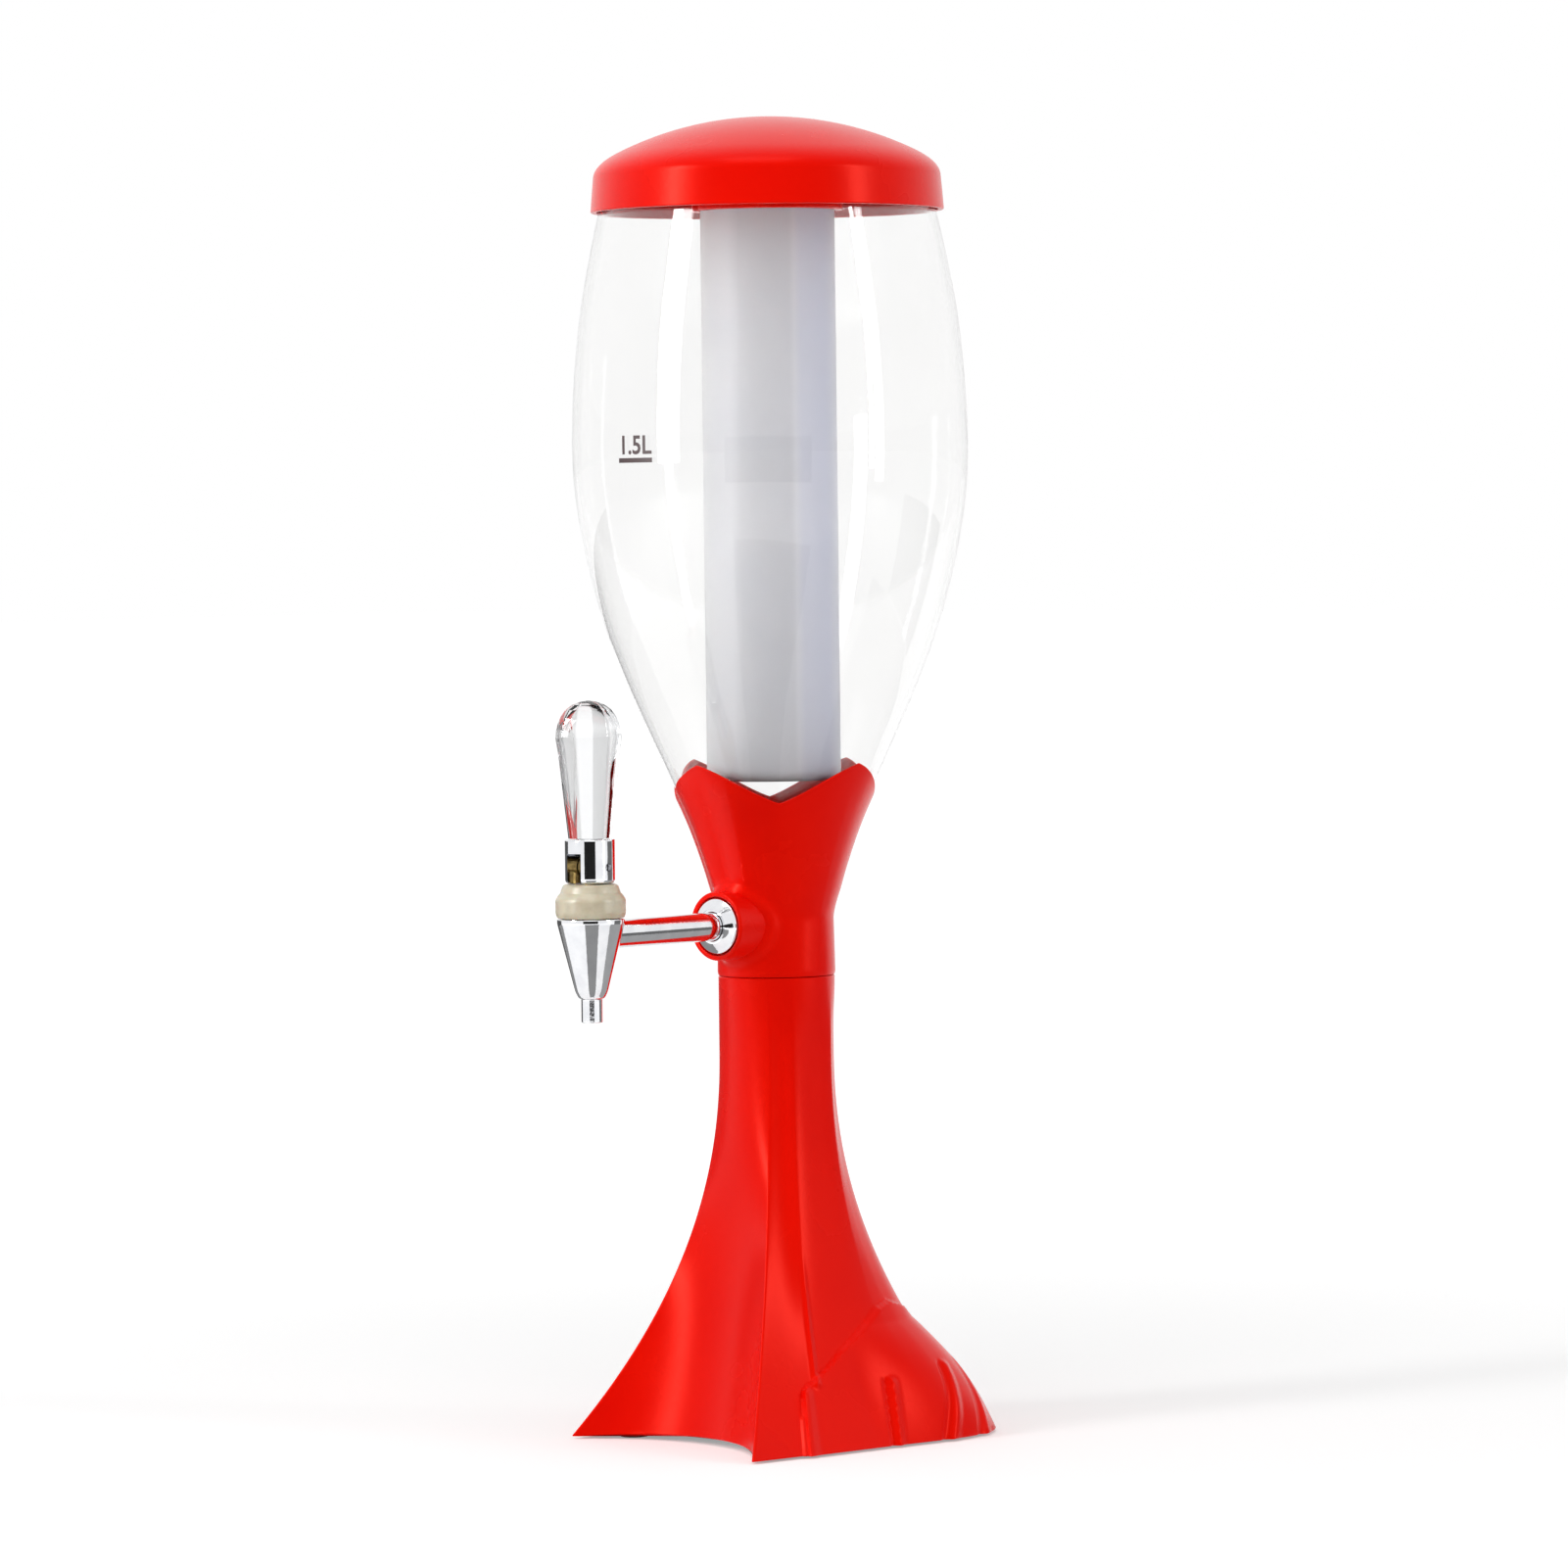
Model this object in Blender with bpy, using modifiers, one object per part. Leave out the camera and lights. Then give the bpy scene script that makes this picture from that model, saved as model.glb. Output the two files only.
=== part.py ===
# Table-top beer tower: a clear 1.5 litre tank over a red pedestal, an ice tube
# hanging from the lid, and a chrome tap with a tilting lever.
# Metres, +Z up. The origin is on the tower's axis, on the table. The tap points along -Y.

import math
import bpy
import bmesh
from mathutils import Matrix, Vector

# Gaps between pieces that touch or slide
SEAT_GAP = 0.0003
COLLAR_GAP = 0.0004
CUT_OVERRUN = 0.002
MERGE_DISTANCE = 0.0001

# Tank: blown clear plastic, egg shaped, with a straight neck below
TANK_RADIUS = 0.0766
TANK_WALL = 0.002
TANK_FLOOR = 0.0025
TANK_HEIGHT = 0.296
TANK_NECK_RADIUS = 0.0202
TANK_STEPS = 32
# From the neck's top to the mouth: share of the way from the neck's radius to the full one,
# share of the height
TANK_PROFILE_SHARES = (
    (0.052, 0.088), (0.1104, 0.124), (0.2068, 0.174), (0.3427, 0.231), (0.397, 0.254),
    (0.5396, 0.314), (0.6686, 0.372), (0.7949, 0.438), (0.909, 0.520), (0.9796, 0.600),
    (1.0, 0.665), (0.9864, 0.745), (0.9402, 0.838), (0.8655, 0.917), (0.7718, 1.0),
)

# Lid: shallow dome with a skirt outside the tank's mouth
LID_HEIGHT = 0.0287
LID_DOME_RADIUS = 0.130
LID_SHOULDER_RISE = 0.0052
LID_SHOULDER_ROUND = 0.0097
LID_SHOULDER_DRAFT = 0.0011
LID_SKIRT_DEPTH = 0.0078
LID_WALL = 0.0022
LID_SKIRT_GAP = 0.0008
LID_LEDGE_WIDTH = 0.0032
LID_STEPS = 32
LID_DOME_STEPS = 6
LID_SHOULDER_STEPS = 4

# Ice tube: hangs in the lid's socket on two lugs
TUBE_RADIUS = 0.026
TUBE_WALL = 0.0018
TUBE_RISE = 0.069
TUBE_BOTTOM_ROUND = 0.004
TUBE_SEAL_HEIGHT = 0.0012
TUBE_SEAL_WIDTH = 0.0026
TUBE_STEPS = 24
SOCKET_WALL = 0.003
SOCKET_DEPTH = 0.027
SOCKET_LAND_DROP = 0.0009
LUG_HEIGHT = 0.003
LUG_WIDTH = 0.006
LUG_DROP = 0.017
LUG_REACH = 0.0022
LUG_TURN = math.radians(60)

# Collar: red cup that holds the tank's neck, with four petals at its rim
COLLAR_HEIGHT = 0.0825
PETAL_DEPTH = 0.0148
COLLAR_WALL = 0.0023
COLLAR_RIM_WALL = 0.0013
COLLAR_PETALS = 4
COLLAR_STEPS = 40
COLLAR_LEVEL_SHARES = (0.0, 0.16, 0.32, 0.46, 0.6, 0.73, 0.87, 1.0)
PETAL_ROUNDING_SHARE = 0.35
BOSS_STEPS = 36
BOSS_RADIUS = 0.0133
BOSS_REACH = 0.0345
BOSS_LIP = 0.0019
BOSS_RECESS = 0.003

# Pedestal: hollow red moulding that flares into folds, fins and two leaves
SEAM_HEIGHT = 0.180
SPIGOT_HEIGHT = 0.0067
NECK_STEP = 0.0003
PEDESTAL_WALL = 0.003
PEDESTAL_TURN = math.radians(-7.3)
HEM_HEIGHT = 0.001
HEM_ARCH = 0.0016
FLARE_TOP = 0.150
FLARE_POWER = 2.15
FRONT_HOLLOW_REACH = 0.037
FRONT_HOLLOW_RADIUS = 0.071
FRONT_STEPS = 10
SIDE_STEPS = 2
FOLD_DEPTH = 0.0012
FOLD_FADE = 0.030
HEM_HALF_WIDTH = 0.058
FIN_HALF_WIDTH = 0.0552
HEM_BACK = 0.0725
# Side and back of the hem behind the front fin's tip: shares of half width and of the back's reach
HEM_SIDE_SHARES = (
    (0.972, 0.44), (0.975, 0.13), (0.977, -0.11), (0.992, -0.42),
    (0.985, -0.62), (0.915, -0.83), (0.745, -0.985), (0.53, -0.99), (0.27, -0.86), (0.0, -0.80),
)
CREST_TURNS = tuple(math.radians(turn) for turn in (-41, 41, 63, 86, 149, 211))
LEAF_STEP = 0.0026
LEAF_EDGE = 0.005
LEAF_BULGE = 0.0058
LEAF_BULGE_HEIGHT = 0.046
LEAF_HEIGHT = 0.066
# The leaf's upper edge: turn from the front in degrees, share of the leaf's height
LEAF_TOP_SHARES = (
    (58, 0.0), (62, 0.10), (64, 0.36), (85, 0.60), (107, 0.88), (116, 1.0),
    (128, 0.98), (148, 0.78), (163, 0.40), (170, 0.0),
)
LEAF_BULGE_START = math.radians(88)
LEAF_BULGE_FULL = math.radians(128)
LEAF_BULGE_FADE = math.radians(166)
TOE_TURNS = tuple(math.radians(turn) for turn in (98, 117, 134, 150))
TOE_GROOVE = 0.0014
TOE_GROOVE_WIDTH = math.radians(5)
TOE_TOP = 0.034
SPIGOT_WALL = 0.003
SHOULDER_DROP = 0.0025
# Levels of the outer and the inner surface, as shares of the seam's height
OUTER_LEVEL_SHARES = (0.94, 0.83, 0.70, 0.58, 0.47, 0.385, 0.32, 0.265, 0.215, 0.17, 0.125, 0.08, 0.04)
INNER_LEVEL_SHARES = (0.09, 0.20, 0.36, 0.60)

# Bottom cover, its screws and feet
FOOT_HEIGHT = 0.0015
FOOT_RADIUS = 0.006
COVER_HEIGHT = 0.003
PANEL_RADIUS = 0.028
PANEL_DROP = 0.0006
PANEL_STEPS = 32
SCREW_HEAD_RADIUS = 0.0032
SCREW_HEAD_HEIGHT = 0.0016
SCREW_RADIUS = 0.0014
SCREW_LENGTH = 0.010
SCREW_BOSS_RADIUS = 0.0036
COUNTERBORE_DEPTH = 0.002
SCREW_STEPS = 12
FOOT_STEPS = 16
# Where the screws stand: in from the hem's side, from the front fins' tips and from the back
SCREW_INSET = 0.0145
FRONT_SCREW_SETBACK = 0.0247
BACK_SCREW_SETBACK = 0.0225

# Tap: shank through the collar, body, bonnet, stem and tilting lever
TAP_RISE = 0.0205
TAP_REACH = 0.104
SHANK_RADIUS = 0.0055
SHANK_BORE = 0.0026
SHANK_SOCKET = 0.0050
FLANGE_RADIUS = 0.0107
FLANGE_HEIGHT = 0.0034
SHANK_SEAL_RADIUS = 0.0100
SHANK_SEAL_HEIGHT = 0.0012
PORT_SEAL_RADIUS = 0.0085
PORT_SEAL_FLAT = 0.0153
NUT_ACROSS_CORNERS = 0.0162
NUT_HEIGHT = 0.0035
NUT_SIDES = 6
SHANK_STUB = 0.001
BODY_RISE = 0.0065
BODY_RADIUS = 0.0128
BODY_TOE_RADIUS = 0.0058
BODY_DROP = 0.0239
BODY_RIM = 0.0018
BODY_ROUND = 0.0016
NOZZLE_RADIUS = 0.00405
NOZZLE_BORE = 0.0024
NOZZLE_LENGTH = 0.0089
CHAMBER_RADIUS = 0.0046
CHAMBER_RISE = 0.0074
SEAT_HEIGHT = 0.0022
TAP_STEPS = 20
BONNET_SEAL_HEIGHT = 0.0009
BONNET_SEAL_RADIUS = 0.0112
BONNET_RADIUS = 0.0133
BONNET_HEIGHT = 0.0127
# The bonnet from its top down: share of the radius, share of the height
BONNET_PROFILE_SHARES = ((0.80, 1.0), (0.93, 0.80), (1.0, 0.50), (0.985, 0.12), (0.95, 0.0))
BONNET_SPIGOT = 0.0035
STEM_RADIUS = 0.0022
STEM_NECK_RADIUS = 0.0029
PLUG_HEIGHT = 0.0034
STEM_HEAD_WIDTH = 0.0062
STEM_HEAD_RADIUS = 0.0034
PIN_RISE = 0.0065
PIN_RADIUS = 0.0012
PIN_LENGTH = 0.0156
FERRULE_RADIUS = 0.0095
FERRULE_HEIGHT = 0.0167
FERRULE_ROUND = 0.0015
WINDOW_WIDTH = 0.0070
WINDOW_HEIGHT = 0.0114
WINDOW_BACK = 0.0040
KNOB_SOCKET_RADIUS = 0.0052
KNOB_SOCKET_DEPTH = 0.0038
KNOB_HALF_WIDTH = 0.0127
KNOB_HEIGHT = 0.0518
KNOB_TURN = math.radians(20)
TO_FRONT = math.radians(90)
# The knob's outline from its foot up: share of the half width, share of the height
KNOB_PROFILE_SHARES = (
    (0.65, 0.0), (0.81, 0.36), (0.92, 0.61), (1.0, 0.73), (0.93, 0.82), (0.76, 0.90),
    (0.50, 0.97), (0.20, 1.0),
)
# Corners of the knob's section, as turns in degrees: four broad and four narrow facets
KNOB_CORNER_TURNS = (-31, 31, 59, 121, 149, 211, 239, 301)

# Colour, roughness, metallic value and opacity of each material
FINISHES = {
    "red_plastic": ((0.78, 0.012, 0.006), 0.22, 0.0, 1.0),
    "clear_plastic": ((0.93, 0.95, 0.96), 0.05, 0.0, 0.25),
    "frosted_plastic": ((0.80, 0.80, 0.84), 0.45, 0.0, 0.85),
    "chrome": ((0.80, 0.80, 0.82), 0.10, 1.0, 1.0),
    "ivory_plastic": ((0.74, 0.66, 0.50), 0.40, 0.0, 1.0),
    "crystal": ((0.95, 0.96, 0.97), 0.03, 0.0, 0.35),
    "brass": ((0.45, 0.33, 0.13), 0.30, 1.0, 1.0),
    "black_rubber": ((0.02, 0.02, 0.02), 0.80, 0.0, 1.0),
    "black_plastic": ((0.03, 0.03, 0.03), 0.50, 0.0, 1.0),
    "silicone": ((0.70, 0.70, 0.68), 0.60, 0.0, 1.0),
    "steel": ((0.55, 0.55, 0.56), 0.30, 1.0, 1.0),
}


def clear_scene():
    for old in list(bpy.data.objects):
        bpy.data.objects.remove(old, do_unlink=True)


def new_collection(name):
    group = bpy.data.collections.new(name)
    bpy.context.scene.collection.children.link(group)
    return group


def finish_material(name):
    known = bpy.data.materials.get(name)
    if known:
        return known
    colour, roughness, metallic, opacity = FINISHES[name]
    made = bpy.data.materials.new(name)
    made.use_nodes = True
    shader = made.node_tree.nodes["Principled BSDF"]
    shader.inputs["Base Color"].default_value = (*colour, 1.0)
    shader.inputs["Roughness"].default_value = roughness
    shader.inputs["Metallic"].default_value = metallic
    shader.inputs["Alpha"].default_value = opacity
    made.diffuse_color = (*colour, opacity)
    return made


clear_scene()
PARTS = new_collection("beer_tower")
CUTTERS = new_collection("cutters")


def add_object(name, shape, finish, place=(0.0, 0.0, 0.0), parent=None):
    """Make an object from a bmesh, in the parts or, without a finish, among the cutters."""
    mesh = bpy.data.meshes.new(name)
    shape.to_mesh(mesh)
    shape.free()
    made = bpy.data.objects.new(name, mesh)
    made.location = place
    made.parent = parent
    if finish:
        PARTS.objects.link(made)
        mesh.materials.append(finish_material(finish))
        mesh.shade_smooth()
        mesh.set_sharp_from_angle(angle=math.radians(35))
    else:
        CUTTERS.objects.link(made)
        made.hide_render = True
        made.display_type = "WIRE"
    return made


def add_axis(name, place):
    """An empty that stands on a joint's axis."""
    axis = bpy.data.objects.new(name, None)
    axis.location = place
    PARTS.objects.link(axis)
    return axis


def boolean(target, tool, operation):
    step = target.modifiers.new(tool.name, "BOOLEAN")
    step.operation = operation
    step.solver = "EXACT"
    step.object = tool


def turned(name, profile, finish, steps, place=(0.0, 0.0, 0.0), parent=None, ring=False, tilt=0.0):
    """Turn a profile of (radius, height) about Z. A ring's profile is a closed loop."""
    shape = bmesh.new()
    corners = [shape.verts.new((radius, 0.0, height)) for radius, height in profile]
    for start, end in zip(corners, corners[1:]):
        shape.edges.new((start, end))
    if ring:
        shape.edges.new((corners[-1], corners[0]))
    made = add_object(name, shape, finish, place, parent)
    made.rotation_euler.x = tilt
    screw = made.modifiers.new("turn", "SCREW")
    screw.axis = "Z"
    screw.steps = steps
    screw.render_steps = steps
    screw.use_merge_vertices = True
    screw.merge_threshold = MERGE_DISTANCE
    screw.use_smooth_shade = True
    return made


def rod_shape(radius, start, end, sides=24, along="Z", end_radius=None):
    """A closed rod or cone between two heights along Z, or between two places along X or Y."""
    shape = bmesh.new()
    bmesh.ops.create_cone(
        shape, cap_ends=True, segments=sides, radius1=radius,
        radius2=radius if end_radius is None else end_radius, depth=end - start)
    bmesh.ops.translate(shape, verts=shape.verts, vec=(0.0, 0.0, (start + end) / 2))
    if along == "Y":
        bmesh.ops.rotate(shape, verts=shape.verts, matrix=Matrix.Rotation(math.radians(-90), 3, "X"))
    if along == "X":
        bmesh.ops.rotate(shape, verts=shape.verts, matrix=Matrix.Rotation(math.radians(90), 3, "Y"))
    return shape


def box_shape(low, high):
    """A closed box between two corners."""
    shape = bmesh.new()
    bmesh.ops.create_cube(shape, size=1.0)
    low = Vector(low)
    high = Vector(high)
    bmesh.ops.scale(shape, verts=shape.verts, vec=high - low)
    bmesh.ops.translate(shape, verts=shape.verts, vec=(low + high) / 2)
    return shape


def loft_shape(rings, around=False):
    """Skin rings of equal count. Closed end to start when around is set, capped otherwise."""
    shape = bmesh.new()
    rows = [[shape.verts.new(point) for point in ring] for ring in rings]
    pairs = list(zip(rows, rows[1:]))
    if around:
        pairs.append((rows[-1], rows[0]))
    for lower, upper in pairs:
        for index in range(len(lower)):
            after = (index + 1) % len(lower)
            shape.faces.new((lower[index], lower[after], upper[after], upper[index]))
    if not around:
        shape.faces.new(rows[0])
        shape.faces.new(rows[-1])
    bmesh.ops.recalc_face_normals(shape, faces=shape.faces)
    return shape


def between(table, value):
    """Straight-line reading of a table of (place, reading) pairs."""
    for (start, first), (end, second) in zip(table, table[1:]):
        if value <= end:
            share = max(0.0, (value - start) / (end - start))
            return first + (second - first) * share
    return table[-1][1]


def ease(value):
    """Smooth step from 0 to 1."""
    value = min(1.0, max(0.0, value))
    return value * value * (3 - 2 * value)


def curve_through(points, steps):
    """Points on a smooth curve through the given ones, with an even count between each two."""
    ends = [2 * points[0] - points[1], *points, 2 * points[-1] - points[-2]]
    smooth = []
    for before, start, end, after in zip(ends, ends[1:], ends[2:], ends[3:]):
        for step in range(steps):
            t = step / steps
            smooth.append(
                0.5 * (2 * start + (end - before) * t
                       + (2 * before - 5 * start + 4 * end - after) * t * t
                       + (3 * start - before - 3 * end + after) * t ** 3))
    smooth.append(points[-1])
    return smooth


# Heights and radii that several pieces share
collar_bottom = SEAM_HEIGHT + SEAT_GAP
petal_top = collar_bottom + COLLAR_HEIGHT
notch_bottom = petal_top - PETAL_DEPTH
collar_bore = TANK_NECK_RADIUS + COLLAR_GAP
collar_outside = collar_bore + COLLAR_WALL
neck_radius = collar_outside - NECK_STEP
tank_bottom = SEAM_HEIGHT + SPIGOT_HEIGHT + SEAT_GAP
tank_mouth = tank_bottom + TANK_HEIGHT
tank_bore = TANK_NECK_RADIUS - TANK_WALL
cover_bottom = FOOT_HEIGHT + SEAT_GAP
cover_top = cover_bottom + COVER_HEIGHT
tap_height = SEAM_HEIGHT + TAP_RISE
tap_place = Vector((0.0, -TAP_REACH, 0.0))
stem_hole = STEM_RADIUS + SEAT_GAP
shank_hole = SHANK_RADIUS + SEAT_GAP


def tank_outline():
    """Outer (radius, height) points of the tank from its mouth down to its foot."""
    swell = TANK_RADIUS - TANK_NECK_RADIUS
    wall = [(TANK_NECK_RADIUS + share * swell, tank_bottom + level * TANK_HEIGHT)
            for share, level in TANK_PROFILE_SHARES]
    neck_top = (TANK_NECK_RADIUS, wall[0][1] - (wall[1][1] - wall[0][1]))
    foot = (TANK_NECK_RADIUS, tank_bottom + TANK_WALL / 2)
    heel = (TANK_NECK_RADIUS - TANK_WALL / 2, tank_bottom)
    return [*reversed(wall), neck_top, foot, heel]


def tank_radius(height):
    """The tank's outer radius at a height."""
    return between([(level, radius) for radius, level in reversed(tank_outline())], height)


def make_tank():
    outer = tank_outline()
    floor = tank_bottom + TANK_FLOOR
    inner = [(radius - TANK_WALL, level) for radius, level in reversed(outer[:-2])]
    hollow = [(0.0, floor), (tank_bore - TANK_WALL / 2, floor), (tank_bore, floor + TANK_WALL / 2)]
    tank = turned("tank", [*hollow, *inner, *outer, (0.0, tank_bottom)], "clear_plastic", TANK_STEPS)
    port = rod_shape(shank_hole, -collar_outside, -SHANK_STUB, along="Y")
    boolean(tank, add_object("tank_port", port, None, (0.0, 0.0, tap_height)), "DIFFERENCE")


lid_ledge = tank_mouth + SEAT_GAP
lid_bottom = lid_ledge - LID_SKIRT_DEPTH
lid_top = lid_ledge + LID_HEIGHT
skirt_bore = tank_radius(lid_bottom) + LID_SKIRT_GAP
skirt_radius = skirt_bore + LID_WALL
shoulder_radius = skirt_radius - LID_SHOULDER_DRAFT
shoulder_height = lid_ledge + LID_SHOULDER_RISE
dome_edge = shoulder_radius - LID_SHOULDER_ROUND
socket_bore = TUBE_RADIUS + SEAT_GAP
socket_outside = socket_bore + SOCKET_WALL


def dome_height(radius, drop=0.0):
    """Height of the lid's dome, or of its underside a wall below, at a radius."""
    sphere = LID_DOME_RADIUS - drop
    return lid_top - LID_DOME_RADIUS + math.sqrt(sphere * sphere - radius * radius)


socket_land = dome_height(socket_outside, LID_WALL) - SOCKET_LAND_DROP
socket_bottom = socket_land - SOCKET_DEPTH
tube_top = socket_land - TUBE_SEAL_HEIGHT - SEAT_GAP * 2
tube_bottom = tank_bottom + TUBE_RISE
lug_height = tube_top - LUG_DROP


def sector_shape(inner, outer, low, high, start, end):
    """A piece of a flat ring between two turns about Z, counted from +X."""
    steps = max(2, round((end - start) / math.radians(10)))
    rings = []
    for step in range(steps + 1):
        turn = start + (end - start) * step / steps
        side = Vector((math.cos(turn), math.sin(turn), 0.0))
        rings.append([side * radius + Vector((0.0, 0.0, level))
                      for radius, level in ((inner, low), (outer, low), (outer, high), (inner, high))])
    return loft_shape(rings)


def make_lid():
    dome = [(dome_edge * step / LID_DOME_STEPS, dome_height(dome_edge * step / LID_DOME_STEPS))
            for step in range(LID_DOME_STEPS + 1)]
    # The shoulder leaves the dome along its slope and turns down into the skirt
    slope = dome_edge / math.sqrt(LID_DOME_RADIUS ** 2 - dome_edge ** 2)
    corner = Vector((shoulder_radius, dome[-1][1] - (shoulder_radius - dome_edge) * slope))
    shoulder = []
    for step in range(1, LID_SHOULDER_STEPS + 1):
        t = step / LID_SHOULDER_STEPS
        start = Vector(dome[-1]).lerp(corner, t)
        shoulder.append(tuple(start.lerp(corner.lerp(Vector((shoulder_radius, shoulder_height)), t), t)))
    ledge_bore = skirt_bore - LID_LEDGE_WIDTH
    under_edge = dome_edge - LID_WALL
    land_edge = TUBE_RADIUS - TUBE_SEAL_WIDTH - SEAT_GAP
    underside = [
        (skirt_radius, lid_bottom), (skirt_bore, lid_bottom),
        (skirt_bore, lid_ledge), (ledge_bore, lid_ledge), (ledge_bore, shoulder_height),
        (under_edge, dome_height(under_edge, LID_WALL)),
        ((under_edge + socket_outside) / 2, dome_height((under_edge + socket_outside) / 2, LID_WALL)),
        (socket_outside, dome_height(socket_outside, LID_WALL)),
        (socket_outside, socket_bottom), (socket_bore, socket_bottom),
        (socket_bore, socket_land), (land_edge, socket_land),
        (land_edge, dome_height(land_edge, LID_WALL)),
        (land_edge / 2, dome_height(land_edge / 2, LID_WALL)), (0.0, dome_height(0.0, LID_WALL))]
    lid = turned("lid", [*dome, *shoulder, *underside], "red_plastic", LID_STEPS)
    # Two L-shaped slots through the socket's wall, in from below and then along for the turn
    slot_high = lug_height + LUG_HEIGHT / 2 + SEAT_GAP
    slot_low = lug_height - LUG_HEIGHT / 2 - SEAT_GAP
    half_lug = math.asin((LUG_WIDTH / 2 + SEAT_GAP) / socket_bore)
    for side in range(2):
        start = math.pi * side
        along = sector_shape(socket_bore - CUT_OVERRUN, socket_outside + CUT_OVERRUN, slot_low, slot_high,
                             start - half_lug, start + LUG_TURN + half_lug)
        boolean(lid, add_object("lug_slot_%d" % (side + 1), along, None), "DIFFERENCE")
        entry = sector_shape(socket_bore - CUT_OVERRUN, socket_outside + CUT_OVERRUN,
                             socket_bottom - CUT_OVERRUN, slot_high,
                             start + LUG_TURN - half_lug, start + LUG_TURN + half_lug)
        boolean(lid, add_object("lug_entry_%d" % (side + 1), entry, None), "DIFFERENCE")
    return lid


def make_ice_tube():
    bore = TUBE_RADIUS - TUBE_WALL
    round_steps = 3
    outer = []
    inner = []
    for step in range(round_steps + 1):
        turn = math.pi / 2 * step / round_steps
        outer.append((TUBE_RADIUS - TUBE_BOTTOM_ROUND * (1 - math.cos(turn)),
                      tube_bottom + TUBE_BOTTOM_ROUND * (1 - math.sin(turn))))
        small = TUBE_BOTTOM_ROUND - TUBE_WALL
        inner.append((bore - small * (1 - math.cos(turn)),
                      tube_bottom + TUBE_WALL + small * (1 - math.sin(turn))))
    profile = [(0.0, tube_bottom + TUBE_WALL), *reversed(inner), (bore, tube_top),
               (TUBE_RADIUS, tube_top), *outer, (0.0, tube_bottom)]
    tube = turned("ice_tube", profile, "frosted_plastic", TUBE_STEPS)
    for side in range(2):
        turn = math.pi * side
        lug = box_shape((TUBE_RADIUS - TUBE_WALL / 2, -LUG_WIDTH / 2, lug_height - LUG_HEIGHT / 2),
                        (TUBE_RADIUS + LUG_REACH, LUG_WIDTH / 2, lug_height + LUG_HEIGHT / 2))
        bmesh.ops.rotate(lug, verts=lug.verts, matrix=Matrix.Rotation(turn, 3, "Z"))
        boolean(tube, add_object("lug_%d" % (side + 1), lug, None), "UNION")


def make_tube_seal():
    top = socket_land - SEAT_GAP
    bottom = top - TUBE_SEAL_HEIGHT
    outside = TUBE_RADIUS
    bore = TUBE_RADIUS - TUBE_SEAL_WIDTH
    turned("tube_seal", [(outside, top), (outside, bottom), (bore, bottom), (bore, top)],
           "silicone", TUBE_STEPS, ring=True)


def petal_height(turn):
    """Height of the collar's rim: tips at the quarter turns from the front, notches between."""
    swing = abs((turn * COLLAR_PETALS / math.pi) % 2 - 1)
    rounded = swing + (ease(swing) - swing) * PETAL_ROUNDING_SHARE
    return notch_bottom + (petal_top - notch_bottom) * rounded


def collar_bore_radius(height):
    return max(tank_radius(height) + COLLAR_GAP, collar_bore)


def collar_radius(height):
    """The collar's outside: the bore and a wall that thins from the seam to the petals' tips."""
    share = (height - collar_bottom) / COLLAR_HEIGHT
    return collar_bore_radius(height) + COLLAR_WALL + (COLLAR_RIM_WALL - COLLAR_WALL) * share


def collar_ring(share, radius_of):
    """One ring of the collar, at a share of the way from the seam to the petalled rim."""
    ring = []
    for step in range(COLLAR_STEPS):
        turn = 2 * math.pi * step / COLLAR_STEPS
        height = collar_bottom + (petal_height(turn) - collar_bottom) * share
        radius = radius_of(height)
        ring.append(Vector((radius * math.sin(turn), -radius * math.cos(turn), height)))
    return ring


def make_collar():
    rings = [collar_ring(share, collar_radius) for share in COLLAR_LEVEL_SHARES]
    rings.append(collar_ring(1.0, lambda height: collar_bore))
    rings.append(collar_ring(0.0, lambda height: collar_bore / 2))
    rings[-1] = [point + Vector((0.0, 0.0, notch_bottom - SEAM_HEIGHT)) for point in rings[-1]]
    collar = add_object("collar", loft_shape(rings), "red_plastic")
    seat = (0.0, 0.0, tap_height)
    boss = rod_shape(BOSS_RADIUS, -BOSS_REACH, -SHANK_STUB, sides=BOSS_STEPS, along="Y")
    boolean(collar, add_object("tap_boss", boss, None, seat), "UNION")
    # The tank's own shape, a gap larger, clears the inside
    bore_top = petal_top + CUT_OVERRUN
    bore_bottom = collar_bottom - CUT_OVERRUN
    levels = [bore_top] + [level for _, level in tank_outline() if bore_bottom < level < bore_top]
    bore = [(0.0, bore_top)]
    bore += [(collar_bore_radius(level), level) for level in levels]
    bore += [(collar_bore, bore_bottom), (0.0, bore_bottom)]
    boolean(collar, turned("collar_bore", bore, None, COLLAR_STEPS), "DIFFERENCE")
    recess = rod_shape(BOSS_RADIUS - BOSS_LIP, -BOSS_REACH - CUT_OVERRUN, -BOSS_REACH + BOSS_RECESS,
                       sides=BOSS_STEPS, along="Y")
    boolean(collar, add_object("boss_recess", recess, None, seat), "DIFFERENCE")
    hole = rod_shape(shank_hole, -BOSS_REACH - CUT_OVERRUN, -SHANK_STUB, along="Y")
    boolean(collar, add_object("boss_hole", hole, None, seat), "DIFFERENCE")


fin_turn = math.asin(FIN_HALF_WIDTH / FRONT_HOLLOW_RADIUS)
hollow_centre = FRONT_HOLLOW_REACH + FRONT_HOLLOW_RADIUS
fin_front = hollow_centre - FRONT_HOLLOW_RADIUS * math.cos(fin_turn)


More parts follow.
